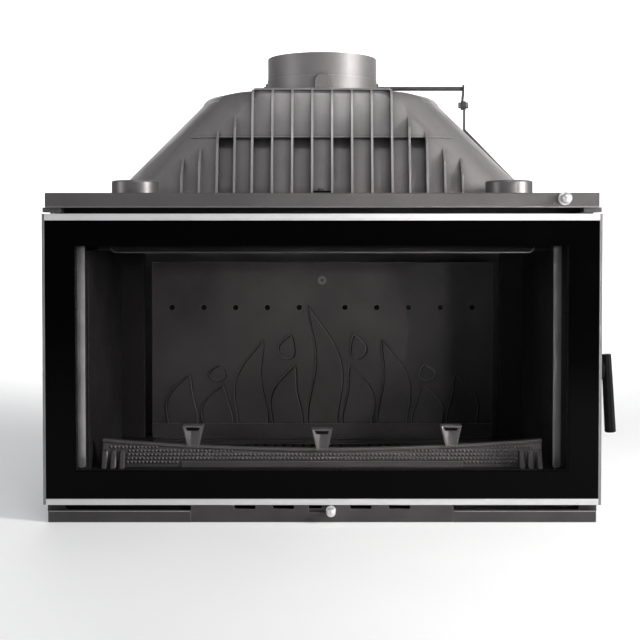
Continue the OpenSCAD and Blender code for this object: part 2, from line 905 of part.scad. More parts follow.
// The corner outside a shoulder's arc
module shoulder_waste(top, slope, tangent) {
    difference() {
        translate([top, lean_h]) rotate(-slope / 2)
            translate([-tangent, -shoulder_r / 4]) square([2 * tangent, shoulder_r / 2]);
        translate([top - tangent, lean_h - shoulder_r]) circle(r = shoulder_r, $fn = shoulder_steps);
        translate([top - tangent - shoulder_r, lean_h - 2 * shoulder_r])
            square([shoulder_r, 2 * shoulder_r]);
        translate([top + tangent * cos(slope), lean_h - tangent * sin(slope)])
            rotate(-slope) translate([0, -shoulder_r]) square(shoulder_r);
    }
}

shoulder_steps = 96;

// Side view of the hood: a leaning face with a round upper edge, and a leaning back
edge_r = 12;
brow_steps = 48;
back_lean = 26;
edge_lean = edge_r * face_lean / hood_h;
module hood_side(inset, drop) {
    low = drop / hood_h;
    offset(r = -inset) difference() {
        polygon([[hood_face_y - low * face_lean, -drop], [hood_back_y + low * back_lean, -drop],
                 [hood_back_y - back_lean, hood_h], [hood_face_y + face_lean, hood_h]]);
        difference() {
            translate([hood_face_y + face_lean - edge_r, hood_h - edge_r]) square(2 * edge_r);
            translate([hood_face_y + face_lean + edge_r - edge_lean, hood_h - edge_r])
                circle(r = edge_r, $fn = brow_steps);
            translate([hood_face_y + face_lean + edge_r - edge_lean, hood_h - 2 * edge_r])
                square(3 * edge_r);
        }
    }
}

// The face rounds back to a crease, and the sides run on from it. Each step has a depth
// behind the face and how far its outline is inset at the foot and at the top.
plan_steps = [[0, 120, 84], [5, 88, 60], [12, 64, 42], [20, 48, 30], [90, 0, 0], [340, 0, 0]];
module hood_form(inset) {
    drop = inset > 0 ? inset + cut : 0;
    translate([0, 0, plate_z]) intersection() {
        hull() for (step = plan_steps)
            translate([0, hood_face_y + step[0] + inset, 0]) rotate([-lean_angle, 0, 0])
                stand(-cut, 0) offset(delta = -inset)
                    hood_front(hood_reach - step[1], hood_reach - run - step[2], drop);
        side_on(-half_rail, half_rail) hood_side(inset, drop);
    }
}

// A strip of the face between two heights, from a depth before it to a depth behind it
module face_strip(x0, x1, z0, z1, before, behind) {
    side_on(x0, x1) polygon([[face_at(z0) - before, plate_z + z0],
                             [face_at(z0) + behind, plate_z + z0],
                             [face_at(z1) + behind, plate_z + z1],
                             [face_at(z1) - before, plate_z + z1]]);
}

function face_at(z) = hood_face_y + face_lean * z / hood_h;

// Places of the fins of one half: four with the inner distance, four with the outer
function fin_x(i) = i < 4 ? fin_pitch * (i + 1 / 2)
                          : fin_pitch * 7 / 2 + outer_fin_pitch * (i - 3);

// Heights of the fins' tips: the four middle ones reach the top
tip_shares = [1, 1, 1, 1, 0.81, 0.665, 0.508, 0.392];
tip_l = 30;
module fin(i) {
    tip = hood_h * tip_shares[i];
    full = i < 4;
    side_on(fin_x(i) - fin_t / 2, fin_x(i) + fin_t / 2)
        polygon(full
            ? [[face_at(0) - fin_h, plate_z], [face_at(0) + hood_wall, plate_z],
               [face_at(tip) + edge_r, plate_z + tip], [face_at(tip) - fin_h / 2, plate_z + tip],
               [face_at(tip - fin_h) - fin_h, plate_z + tip - fin_h]]
            : [[face_at(0) - fin_h, plate_z], [face_at(0) + hood_wall, plate_z],
               [face_at(tip) + hood_wall, plate_z + tip],
               [face_at(tip - tip_l) - fin_h, plate_z + tip - tip_l]]);
}

// Recessed bays lie between fins 1 and 2, 3 and 4, 5 and 6 of each half
recessed = [0, 2, 4];
plain = [1, 3];
bay_low = 16;
module bay(i) {
    face_strip(fin_x(i) + fin_t / 2, fin_x(i + 1) - fin_t / 2, bay_low, bay_top(i),
               fin_h, ledge_step + recess_d);
}

function bay_top(i) = min(ledge_h, hood_h * tip_shares[i + 1] - tip_l / 2);

// Inside, the bays that are not recessed are hollowed closer to the face
module hood_hollow() {
    deep = ledge_step + recess_d + hood_wall;
    side = hood_wall - fin_t / 2;
    difference() {
        hood_form(hood_wall);
        face_strip(-fin_x(5) - hood_wall, fin_x(5) + hood_wall, -cut, ledge_h + hood_wall,
                   fin_h, deep);
    }
    both() for (i = plain) bay_hollow(fin_x(i) + side, fin_x(i + 1) - side, deep);
    bay_hollow(-fin_x(0) + side, fin_x(0) - side, deep);
}

module bay_hollow(x0, x1, deep) {
    face_strip(x0, x1, -cut, ledge_h, -ledge_step - hood_wall, deep + cut);
}

// Thin ledge across the face
ledge_reach = 228;
ledge_t = 2.4;
ledge_out = 1.6;
module hood_ledge() {
    intersection() {
        face_strip(-ledge_reach, ledge_reach, ledge_h, ledge_h + ledge_t, ledge_out,
                   ledge_step + recess_d);
        translate([0, -ledge_out, 0]) hood_form(0);
    }
}

seat_hole = 96;
module hood() {
    color("#8a8585") difference() {
        union() {
            difference() {
                hood_form(0);
                face_strip(-fin_x(5), fin_x(5), bay_low, ledge_h, fin_h, ledge_step);
                both() for (i = recessed) bay(i);
            }
            both() for (i = [0:7]) fin(i);
            hood_ledge();
            block([-clamp_w / 2, clamp_w / 2], [hood_face_y - foot_reach, hood_face_y + hood_wall],
                  [plate_z, plate_z + bay_low]);
        }
        hood_hollow();
        block([-seat_hole, seat_hole], [-seat_hole, seat_hole],
              [hood_top_z - 3 * hood_wall, pad_z + cut]);
    }
}

// Flat seat plate on the hood's top, which carries the collar
pad_front = 3;
module flue_seat() {
    reach = collar_d / 2 + pad_front;
    color("#8a8585") difference() {
        block([-pad_reach, pad_reach], [-reach, reach], [hood_top_z, pad_z]);
        bar_z(0, 0, hood_top_z - cut, pad_z + cut, throat_d);
    }
}

// Clamp that holds the hood's foot down on the top plate
clamp_w = 30;
clamp_t = 4;
foot_reach = 10;
clamp_y = hood_face_y - 2 * foot_reach;
module hood_clamp() {
    color("#77716f") difference() {
        union() {
            block([-clamp_w / 2, clamp_w / 2], [clamp_y - foot_reach, hood_face_y - gap],
                  [plate_z + bay_low, plate_z + bay_low + clamp_t]);
            bar_z(0, clamp_y, plate_z, plate_z + bay_low, 2 * bolt_d);
        }
        bar_z(0, clamp_y, plate_z - cut, plate_z + bay_low + clamp_t + cut, bolt_d);
    }
}

module clamp_bolt() {
    z = plate_z + bay_low + clamp_t;
    color("#8f8b8c") {
        bar_z(0, clamp_y, top_z, z, bolt_d);
        translate([0, clamp_y, z]) cylinder(d = bolt_d * 7 / 4, h = bolt_d / 2, $fn = hex_sides);
    }
}

// Duct cap, a round cover with a slightly raised top
cap_wall = 5;
cap_rise = 2;
module duct_cap(side) {
    color("#7d7878") translate([side * cap_reach, front_y + cap_setback, plate_z])
        rotate_extrude() difference() {
            polygon([[0, 0], [cap_d / 2, 0], [cap_d / 2, cap_h - cap_rise],
                     [cap_d / 2 - cap_rise, cap_h], [0, cap_h + cap_rise / 2]]);
            square([cap_d / 2 - cap_wall, cap_h - cap_wall]);
        }
}

module cap_left() {
    duct_cap(-1);
}

module cap_right() {
    duct_cap(1);
}

// Flue collar: a spigot over a slightly thicker skirt, with lugs and shaft bearings
skirt_h = 24;
skirt_t = 1;
lug_reach = 4;
module flue_collar() {
    r = collar_d / 2;
    color("#8f8a8a") difference() {
        union() {
            bar_z(0, 0, pad_z, pad_z + collar_h, collar_d);
            bar_z(0, 0, pad_z, pad_z + skirt_h, collar_d + 2 * skirt_t);
            bar_x(-r - lug_reach, r + lug_reach, 0, shaft_z, 2 * lug_r);
            for (side = [-1, 1]) collar_lug(side);
        }
        bar_z(0, 0, pad_z - cut, pad_z + collar_h + cut, throat_d);
        bar_x(-r - 2 * lug_reach, r + 2 * lug_reach, 0, shaft_z, shaft_d + 2 * run_fit);
    }
}

// Lug with a round top, at the front or at the back
module collar_lug(side) {
    r = collar_d / 2;
    w = skirt_h;
    y0 = side < 0 ? -r - lug_reach : r - collar_wall / 2;
    stand(y0, y0 + lug_reach + collar_wall / 2) {
        translate([-w / 2, pad_z]) square([w, w / 2]);
        translate([0, pad_z + w / 2]) circle(d = w);
    }
}

// Damper: flap, shaft and slotted crank turn together
module damper_flap() {
    color("#4a4748") difference() {
        union() {
            bar_z(0, 0, shaft_z - flap_t / 2, shaft_z + flap_t / 2, throat_d - 2);
            bar_x(-throat_d / 3, throat_d / 3, 0, shaft_z, 2 * shaft_d - flap_t / 2);
        }
        bar_x(-throat_d, throat_d, 0, shaft_z, shaft_d);
    }
}

module damper_shaft() {
    color("#8f8b8c")
        bar_x(-collar_d / 2 - 2 * lug_reach, crank_x, 0, shaft_z, shaft_d);
}

module damper_crank() {
    top = crank_drop / cos(crank_lean);
    color("#77716f") translate([0, 0, shaft_z]) rotate([crank_lean, 0, 0]) difference() {
        side_on(crank_x, shaft_reach) union() {
            circle(d = crank_w);
            translate([-crank_w / 2, -crank_l + crank_w / 2]) square([crank_w, crank_l - crank_w / 2]);
            translate([0, -crank_l + crank_w / 2]) circle(d = crank_w);
        }
        translate([crank_x - cut, 0, 0]) side_on(0, crank_t + 2 * cut)
            crank_slot(crank_drop - gap, top + gap, screw_d + 2 * slot_play);
    }
}

module crank_slot(low, high, w) {
    translate([-w / 2, -high]) square([w, high - low]);
    for (l = [low, high]) translate([0, -l]) circle(d = w);
}

// Pull rod: an eye at the crank, a bend down, a run along the hood and a run to the front
knee_share = 0.708;
module pull_rod() {
    eye_w = screw_d + 2 * rod_d;
    low = [rod_reach, rod_y, rod_z];
    knee = [eye_x, rod_y, plate_z + hood_h * knee_share];
    color("#8f8b8c") difference() {
        union() {
            bar_x(eye_x - rod_d / 2, eye_x + rod_d / 2, rod_y, pin_z, eye_w);
            rod_run([eye_x, rod_y, pin_z - eye_w / 2], knee);
            rod_run(knee, low);
            rod_run(low, [rod_reach, front_y - knob_stand, rod_z]);
        }
        bar_x(eye_x - rod_d, eye_x + rod_d, rod_y, pin_z, screw_d);
    }
}

// A round bar between two points with round ends
module rod_run(a, b) {
    v = b - a;
    l = norm(v);
    translate(a) rotate([0, acos(v[2] / l), atan2(v[1], v[0])]) cylinder(d = rod_d, h = l);
    translate(a) sphere(d = rod_d);
}

// Screw and nut that join the rod to the crank's slot
head_t = 5;
module crank_screw() {
    x0 = crank_x - gap - head_t;
    x1 = eye_x + rod_d / 2;
    color("#c9c9cb") {
        bar_x(x0, x1, rod_y, pin_z, screw_d);
        translate([x1, rod_y, pin_z]) rotate([0, 90, 0])
            cylinder(d = 2 * screw_d, h = head_t, $fn = hex_sides);
    }
}

module crank_nut() {
    color("#b8b8ba") difference() {
        translate([crank_x - gap - head_t, rod_y, pin_z]) rotate([0, 90, 0])
            cylinder(d = 2 * screw_d, h = head_t, $fn = hex_sides);
        bar_x(crank_x - 2 * head_t, crank_x, rod_y, pin_z, screw_d);
    }
}

module damper_knob() {
    color("#d8d6d7")
        ball_knob(rod_reach, front_y - knob_stand, rod_z, damper_knob_d, rod_d);
}

module damper_washer() {
    color("#c9c9cb") difference() {
        bar_y(rod_reach, front_y - washer_t, front_y, rod_z, rail_h - bevel);
        bar_y(rod_reach, front_y - 2 * washer_t, front_y + cut, rod_z, rod_d + 2 * gap);
    }
}

// Door frame: a flange behind the glass, a deep ring for the rope, hinge blocks and a bracket
module door_frame() {
    color("#2a2829") difference() {
        union() {
            upright_ring(half_glass, glass_z, glass_top_z, window_reach, window_z,
                         window_top_z, flange_y, ring_y);
            upright_ring(frame_reach, glass_z, glass_top_z, window_reach, window_z,
                         window_top_z, ring_y, door_back_y);
            hinge_block(glass_z);
            hinge_block(glass_top_z - block_h);
            block([bracket_x, bracket_x + bracket_t], [ring_y, door_back_y],
                  [pivot_z - block_h / 2, pivot_z + block_h / 2]);
        }
        bar_z(hinge_x, hinge_y, glass_z - cut, glass_z + block_h, hinge_pin_d + 2 * run_fit);
        bar_z(hinge_x, hinge_y, glass_top_z - block_h, glass_top_z + cut,
              hinge_pin_d + 2 * run_fit);
        bar_x(bracket_x - cut, bracket_x + bracket_t + cut, pivot_y, pivot_z,
              spindle_d + 2 * run_fit);
    }
}

module hinge_block(z) {
    block([-half_glass, -frame_reach], [ring_y, door_back_y], [z, z + block_h]);
}

module door_glass() {
    color("#0b0b0c") block([-half_glass + gap, half_glass - gap], [glass_y, gasket_y],
                           [glass_z + gap, glass_top_z - gap]);
}

module glass_gasket() {
    color("#3a3a3a")
        upright_ring(window_reach + rope_w, window_z - rope_w, window_top_z + rope_w,
                     window_reach, window_z, window_top_z, gasket_y, flange_y);
}

module door_rope() {
    color("#3a3a3a")
        upright_ring(window_reach + 3 * rope_w / 2, window_z - 3 * rope_w / 2,
                     window_top_z + 3 * rope_w / 2, window_reach + rope_w / 2,
                     window_z - rope_w / 2, window_top_z + rope_w / 2,
                     door_back_y, door_back_y + rope_t);
}

// A bright trim bar
module trim(z0, z1) {
    color("#d8d6d7") block([-half_glass, half_glass], [trim_y, ring_y], [z0, z1]);
}

module door_trim_top() {
    trim(glass_top_z, door_top_z);
}

module door_trim_bottom() {
    trim(door_z, glass_z);
}

module cheek(x0, x1) {
    block([x0, x1], [front_y, door_back_y], [door_z, door_top_z]);
}

module door_cheek_left() {
    color("#8b8889") cheek(-half_door, -half_glass);
}

module door_cheek_right() {
    color("#8b8889") difference() {
        cheek(half_glass, half_door);
        bar_x(half_glass - cut, half_door + cut, pivot_y, pivot_z, spindle_d + 2 * run_fit);
    }
}

// Handle: hub and grip outside the cheek, hook inside, all on one spindle
hub_t = 5.5;
hub_x = half_door + gap;
module handle_spindle() {
    color("#b8b8ba") bar_x(hook_x, hub_x + hub_t, pivot_y, pivot_z, spindle_d);
}

module handle_hub() {
    color("#1c1c1d") difference() {
        bar_x(hub_x, hub_x + hub_t, pivot_y, pivot_z, hub_d);
        bar_x(hub_x - cut, hub_x + hub_t + cut, pivot_y, pivot_z, spindle_d);
    }
}

// Grip: a round bar that swells towards its lower end
grip_top_share = 0.2;
grip_taper_share = 0.9;
grip_out = 2.4;
module grip_outline() {
    top_r = grip_d * grip_taper_share / 2;
    r = grip_d / 2;
    round_r = r / 2;
    polygon([[0, -grip_l], [r - round_r, -grip_l], [r, round_r - grip_l],
             [top_r, -round_r], [top_r - round_r, 0], [0, 0]]);
}

module handle_grip() {
    color("#141415") difference() {
        translate([hub_x + grip_out + grip_d * grip_taper_share / 2, pivot_y,
                   pivot_z + grip_l * grip_top_share])
            rotate([0, -grip_lean, 0]) rotate_extrude() grip_outline();
        bar_x(hub_x - cut, hub_x + hub_t, pivot_y, pivot_z, hub_d);
    }
}

// Latch hook: it stands just off the striker, so the door is free to swing
module latch_hook() {
    eye_r = spindle_d / 2 + 3;
    under = striker_drop + striker_d / 2 + 2 * gap;
    color("#77716f") translate([0, pivot_y, pivot_z]) rotate([-latch_throw, 0, 0])
        difference() {
            side_on(hook_x, hook_x + hook_t) union() {
                circle(r = eye_r);
                polygon([[0, -eye_r], [hook_reach / 2, -hook_drop], [hook_reach, -hook_drop],
                         [hook_reach, eye_r / 8], [hook_reach - nose_t, eye_r / 8],
                         [hook_reach - nose_t, -under], [hook_reach / 2, -under],
                         [eye_r / 2, eye_r / 2]]);
            }
            bar_x(hook_x - cut, hook_x + hook_t + cut, 0, 0, spindle_d);
        }
}

base_casting();
side_wall_left();
side_wall_right();
back_wall();
front_frame();
top_plate();
hearth_plate();
grate();
ash_pan();
air_inlet_plate();
air_slide();
air_stem();
air_knob();
lower_hinge_lugs();
upper_hinge_lugs();
hinge_pins();
striker_pin();
side_liner_left();
side_liner_right();
corner_post_left();
corner_post_right();
fireback();
fireback_screw();
fireback_spacer();
baffle();
air_deflector();
log_guard();
guard_cups();
hood();
flue_seat();
hood_clamp();
clamp_bolt();
cap_left();
cap_right();
flue_collar();
damper_flap();
damper_shaft();
damper_crank();
pull_rod();
crank_screw();
crank_nut();
damper_knob();
damper_washer();
door_frame();
door_glass();
glass_gasket();
door_rope();
door_trim_top();
door_trim_bottom();
door_cheek_left();
door_cheek_right();
handle_spindle();
handle_hub();
handle_grip();
latch_hook();
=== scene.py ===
import bpy
import json
import math
from mathutils import Matrix, Vector


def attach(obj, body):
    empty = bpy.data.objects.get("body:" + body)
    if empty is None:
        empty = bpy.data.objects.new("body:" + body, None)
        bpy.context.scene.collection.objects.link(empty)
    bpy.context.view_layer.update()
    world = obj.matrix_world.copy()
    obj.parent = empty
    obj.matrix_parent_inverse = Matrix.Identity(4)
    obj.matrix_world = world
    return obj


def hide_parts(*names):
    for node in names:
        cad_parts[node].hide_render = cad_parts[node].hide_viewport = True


# Cast-iron fireplace insert, dressed for the picture. Metres, X right, Y back, Z up.

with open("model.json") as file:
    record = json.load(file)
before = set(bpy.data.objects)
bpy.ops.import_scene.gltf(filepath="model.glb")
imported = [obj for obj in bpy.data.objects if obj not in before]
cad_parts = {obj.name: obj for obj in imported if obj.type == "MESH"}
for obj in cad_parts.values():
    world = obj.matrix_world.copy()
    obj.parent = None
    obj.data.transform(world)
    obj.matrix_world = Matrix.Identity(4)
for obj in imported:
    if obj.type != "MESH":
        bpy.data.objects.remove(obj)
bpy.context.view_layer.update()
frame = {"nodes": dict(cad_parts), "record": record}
print("frame loaded:", len(frame["nodes"]), "nodes")

# The camera: lens and sensor in millimetres, pitch in degrees below level
cameraSetup = {"lens": 65.04, "sensor": 36.0, "place": (0.0, -2.145, 0.4685), "pitch": 1.56,
               "shift": (-0.0033, -0.0778), "clip": (0.05, 60)}

# Area lamps: sizes in metres, power in watts, spread in degrees
lightSetup = {
    "sideRight": {"place": (2.1, -1.20, 0.95), "target": (0.0, -0.1, 0.50), "size": (0.5, 1.0),
                  "power": 80, "tint": (1.0, 0.99, 0.98), "spread": 180},
    "sideLeft": {"place": (-2.0, -0.95, 0.9), "target": (0.0, -0.1, 0.45), "size": (0.5, 1.0),
                 "power": 12, "tint": (0.98, 0.99, 1.0), "spread": 180},
    "topFront": {"place": (0.20, -1.75, 2.5), "target": (0.0, 0.0, 0.55), "size": (0.9, 0.7),
                 "power": 13, "tint": (1.0, 1.0, 1.0), "spread": 180},
    "hearthFront": {"place": (1.25, -2.4, 0.62), "target": (-0.05, 0.12, 0.28),
                    "size": (0.3, 0.3), "power": 0.55, "tint": (1.0, 0.97, 0.95), "spread": 17},
    "backWash": {"place": (0.0, 2.6, 3.2), "target": (0.0, 4.5, 2.0), "size": (4.0, 0.9),
                 "power": 200, "tint": (1.0, 1.0, 1.0), "spread": 180},
}
skySetup = {"tint": (0.93, 0.94, 0.96, 1), "strength": 0.27}


def deselect():
    if bpy.context.mode != "OBJECT":
        bpy.ops.object.mode_set(mode="OBJECT")
    bpy.ops.object.select_all(action="DESELECT")


def makeCamera(setup):
    bpy.ops.object.camera_add(location=setup["place"],
                              rotation=(math.radians(90.0 - setup["pitch"]), 0, 0))
    camera = bpy.context.object
    camera.name = "pictureCamera"
    camera.data.sensor_width = setup["sensor"]
    camera.data.lens = setup["lens"]
    camera.data.shift_x, camera.data.shift_y = setup["shift"]
    camera.data.clip_start, camera.data.clip_end = setup["clip"]
    bpy.context.scene.camera = camera


def makeLamp(name, setup):
    bpy.ops.object.light_add(type="AREA", location=setup["place"])
    lamp = bpy.context.object
    lamp.name = name
    lamp.data.shape = "RECTANGLE"
    lamp.data.size, lamp.data.size_y = setup["size"]
    lamp.data.energy = setup["power"]
    lamp.data.color = setup["tint"]
    lamp.data.spread = math.radians(setup["spread"])
    aim = Vector(setup["target"]) - Vector(setup["place"])
    lamp.rotation_euler = aim.to_track_quat("-Z", "Y").to_euler()


def makeSky(setup):
    world = bpy.data.worlds.new("paleStudio")
    bpy.context.scene.world = world
    world.use_nodes = True
    sky = world.node_tree.nodes["Background"]
    sky.inputs["Color"].default_value = setup["tint"]
    sky.inputs["Strength"].default_value = setup["strength"]
    bpy.context.scene.view_settings.view_transform = "Standard"


deselect()
makeCamera(cameraSetup)
for name, setup in lightSetup.items():
    makeLamp(name, setup)
makeSky(skySetup)
deselect()
print("camera and lights placed")


# One output of a node, so that shader maths reads as plain sums
class Link:
    def __init__(self, finish, socket):
        self.finish = finish
        self.socket = socket

    def calc(self, operation, other=None, turned=False):
        pair = (other, self) if turned else (self, other)
        feeds = {i: v for i, v in enumerate(pair) if v is not None}
        return self.finish.node("Math", {"operation": operation}, feeds)

    def __add__(self, other): return self.calc("ADD", other)
    def __sub__(self, other): return self.calc("SUBTRACT", other)
    def __rsub__(self, other): return self.calc("SUBTRACT", other, True)
    def __mul__(self, other): return self.calc("MULTIPLY", other)
    def __truediv__(self, other): return self.calc("DIVIDE", other)
    def __pow__(self, other): return self.calc("POWER", other)
    def __lt__(self, other): return self.calc("LESS_THAN", other)
    def __abs__(self): return self.calc("ABSOLUTE")


# Rays that the bevel and the occlusion take, enough for so small a reach
sideRays = 4
skinInputs = {"colour": "Base Color", "rough": "Roughness", "metal": "Metallic",
              "normal": "Normal", "alpha": "Alpha", "specular": "Specular IOR Level",
              "sheen": "Sheen Weight"}


# A procedural material: node() adds any node, and the rest is what several finishes share
class Finish:
    def __init__(self, name):
        self.material = bpy.data.materials.new(name)
        self.material.use_nodes = True
        self.tree = self.material.node_tree
        self.tree.nodes.clear()
        self.outlet = self.tree.nodes.new("ShaderNodeOutputMaterial")

    def node(self, kind, settings=None, feeds=None, out=0):
        made = self.tree.nodes.new("ShaderNode" + kind)
        for key, value in (settings or {}).items():
            setattr(made, key, value)
        for key, value in (feeds or {}).items():
            if isinstance(value, Link):
                self.tree.links.new(value.socket, made.inputs[key])
            else:
                made.inputs[key].default_value = value
        return Link(self, made.outputs[out])

    def place(self):
        return self.node("TexCoord", out="Object")

    def part(self, vector, axis):
        return self.node("SeparateXYZ", feeds={0: vector}, out=axis)

    def noise(self, scale, detail=3.0, rough=0.5, stretch=None):
        where = self.place()
        if stretch:
            where = self.node("Mapping", feeds={"Vector": where, "Scale": stretch})
        return self.node("TexNoise", None, {"Vector": where, "Scale": scale,
                                            "Detail": detail, "Roughness": rough})

    def cells(self, scale):
        return self.node("TexVoronoi", None, {"Vector": self.place(), "Scale": scale},
                         "Distance")

    # a value carried from one span onto another, kept inside it
    def span(self, value, low, high, to0=0.0, to1=1.0):
        return self.node("MapRange", {"clamp": True},
                         {"Value": value, "From Min": low, "From Max": high,
                          "To Min": to0, "To Max": to1})

    def blend(self, share, first, second):
        def tone(v):
            return v if isinstance(v, Link) else (*v, 1)
        return self.node("Mix", {"data_type": "RGBA", "clamp_factor": True},
                         {0: share, 6: tone(first), 7: tone(second)}, out=2)

    def bump(self, height, strength, distance):
        return self.node("Bump", None,
                         {"Height": height, "Strength": strength, "Distance": distance})

    # 0 on flat stretches, up to 1 along edges, from a rounded normal against the true one
    def edges(self, radius, low=0.02, high=0.22):
        rounded = self.node("Bevel", {"samples": sideRays}, {"Radius": radius})
        flat = self.node("NewGeometry", out="Normal")
        turn = self.node("VectorMath", {"operation": "DOT_PRODUCT"}, {0: rounded, 1: flat},
                         "Value")
        return self.span(1 - turn, low, high)

    # 1 in crevices and inner corners, 0 in the open
    def crevice(self, reach, low, high):
        openness = self.node("AmbientOcclusion", {"samples": sideRays, "only_local": True},
                             {"Distance": reach}, "AO")
        return self.span(openness, low, high, 1.0, 0.0)

    # the surface itself, which ends the material
    def close(self, **feeds):
        skin = self.node("BsdfPrincipled", None,
                         {skinInputs[key]: value for key, value in feeds.items()})
        self.tree.links.new(skin.socket, self.outlet.inputs["Surface"])
        return self.material


# Sand-cast iron under stove paint: tones, shine, how coarse the sand is, how far edges are worn
# and lit by a painted highlight, and how dark the painted shade in its crevices is
castShared = {"grit": 0.40, "shine": 0.5, "open": (0.55, 0.95), "reach": 0.006, "creviceShade": 0.7}
castings = {
    "greyCasting": {
        "base": (0.285, 0.272, 0.273), "low": (0.205, 0.195, 0.196),
        "wornHighlight": (0.50, 0.485, 0.485), "shadeTone": (0.045, 0.043, 0.043), "metal": 0.62,
        "rough": (0.34, 0.50), "sand": 620, "mottle": 7, "grit": 0.30, "wearHighlight": 0.6,
        "edge": 0.0016, "reach": 0.007, "creviceShade": 0.6},
    "darkCasting": {
        "base": (0.056, 0.053, 0.054), "low": (0.034, 0.032, 0.033),
        "wornHighlight": (0.20, 0.19, 0.19), "shadeTone": (0.014, 0.013, 0.013), "metal": 0.40,
        "rough": (0.44, 0.64), "sand": 560, "mottle": 8, "grit": 0.35, "wearHighlight": 0.95,
        "edge": 0.0024, "shine": 0.35},
    "innerCasting": {
        "base": (0.060, 0.055, 0.056), "low": (0.032, 0.029, 0.030),
        "wornHighlight": (0.26, 0.245, 0.25), "shadeTone": (0.004, 0.0035, 0.0035), "metal": 0.30,
        "rough": (0.48, 0.70), "sand": 480, "mottle": 6, "wearHighlight": 0.5, "edge": 0.0012,
        "shine": 0.3, "open": (0.74, 0.975), "reach": 0.0034, "creviceShade": 0.9},
    "railCasting": {
        "base": (0.098, 0.092, 0.093), "low": (0.066, 0.062, 0.063),
        "wornHighlight": (0.30, 0.29, 0.29), "shadeTone": (0.02, 0.019, 0.019), "metal": 0.40,
        "rough": (0.44, 0.60), "sand": 640, "mottle": 6, "grit": 0.26, "wearHighlight": 0.8,
        "edge": 0.002, "shine": 0.4},
    "guardCasting": {
        "base": (0.105, 0.098, 0.100), "low": (0.070, 0.065, 0.066),
        "wornHighlight": (0.36, 0.34, 0.345), "shadeTone": (0.004, 0.0035, 0.0035), "metal": 0.45,
        "rough": (0.32, 0.48), "sand": 520, "mottle": 7, "grit": 0.3, "wearHighlight": 0.6,
        "edge": 0.0014, "open": (0.6, 0.96), "reach": 0.0040, "creviceShade": 0.9},
    "cupCasting": {
        "base": (0.105, 0.098, 0.100), "low": (0.070, 0.065, 0.066),
        "wornHighlight": (0.42, 0.40, 0.405), "shadeTone": (0.004, 0.0035, 0.0035), "metal": 0.45,
        "rough": (0.32, 0.48), "sand": 520, "mottle": 7, "grit": 0.3, "wearHighlight": 0.8,
        "edge": 0.0014, "open": (0.52, 0.94), "reach": 0.0085, "creviceShade": 0.96},
    "firebackCasting": {
        "base": (0.052, 0.0475, 0.0485), "low": (0.026, 0.0235, 0.0245),
        "wornHighlight": (0.22, 0.207, 0.21), "shadeTone": (0.002, 0.0018, 0.0018), "metal": 0.30,
        "rough": (0.46, 0.68), "sand": 480, "mottle": 6, "wearHighlight": 0.75, "edge": 0.0030,
        "shine": 0.3, "open": (0.62, 0.96), "creviceShade": 0.96},
    # a darker copy of the inner casting for parts that lie in shade in the firebox and round its
    # mouth: painted shade
    "castingInShade": {
        "base": (0.016, 0.0143, 0.0147), "low": (0.008, 0.0073, 0.0076),
        "wornHighlight": (0.15, 0.142, 0.144), "shadeTone": (0.003, 0.003, 0.003), "metal": 0.15,
        "rough": (0.55, 0.75), "sand": 460, "mottle": 5, "wearHighlight": 0.7, "edge": 0.0022,
        "shine": 0.12},
    "hoodIron": {
        "base": (0.285, 0.272, 0.273), "low": (0.205, 0.195, 0.196),
        "wornHighlight": (0.52, 0.505, 0.505), "shadeTone": (0.045, 0.043, 0.043), "metal": 0.62,
        "rough": (0.34, 0.50), "sand": 620, "mottle": 7, "grit": 0.30, "wearHighlight": 0.7,
        "edge": 0.0018, "open": (0.40, 0.94), "reach": 0.020, "creviceShade": 0.85},
    "collarIron": {
        "base": (0.215, 0.205, 0.206), "low": (0.165, 0.157, 0.158),
        "wornHighlight": (0.50, 0.485, 0.485), "shadeTone": (0.04, 0.038, 0.038), "metal": 0.60,
        "rough": (0.46, 0.58), "sand": 620, "mottle": 7, "grit": 0.24, "wearHighlight": 0.75,
        "edge": 0.0018, "open": (0.45, 0.94), "reach": 0.010, "creviceShade": 0.8},
    # near black, for pieces put where there is only shade: painted shade
    "nearBlackShade": {
        "base": (0.0045, 0.0042, 0.0042), "low": (0.0025, 0.0023, 0.0023),
        "wornHighlight": (0.010, 0.0095, 0.0095), "shadeTone": (0.002, 0.002, 0.002), "metal": 0.0,
        "rough": (0.80, 0.95), "sand": 460, "mottle": 5, "wearHighlight": 0.3, "edge": 0.0006,
        "shine": 0.05, "reach": 0.004},
    "capCasting": {
        "base": (0.150, 0.143, 0.144), "low": (0.110, 0.105, 0.106),
        "wornHighlight": (0.40, 0.39, 0.39), "shadeTone": (0.03, 0.029, 0.029), "metal": 0.65,
        "rough": (0.36, 0.46), "sand": 640, "mottle": 6, "grit": 0.10, "wearHighlight": 0.6,
        "edge": 0.0016},
    "shellCasting": {
        "base": (0.115, 0.110, 0.112), "low": (0.070, 0.066, 0.068),
        "wornHighlight": (0.24, 0.23, 0.23), "shadeTone": (0.02, 0.02, 0.02), "metal": 0.35,
        "rough": (0.50, 0.72), "sand": 420, "mottle": 5, "grit": 0.55, "wearHighlight": 0.45,
        "edge": 0.0012, "shine": 0.4, "reach": 0.008, "creviceShade": 0.6},
}
# What all castings share: spans of the noises that count, shares of each layer, relief
castMix = {"mottleSpan": (0.34, 0.68), "sandSpan": (0.35, 0.75), "sandShare": 0.35,
           "coarser": 4, "pitScale": 0.55, "pitSpan": (0.0, 0.22), "pitShare": 0.5,
           "chipSpan": (0.3, 0.6, 0.35, 1.0), "roughSpan": (0.35, 0.65),
           "roughShares": (0.6, 0.4), "relief": (0.5, 0.35, 0.4), "depth": 0.0007}


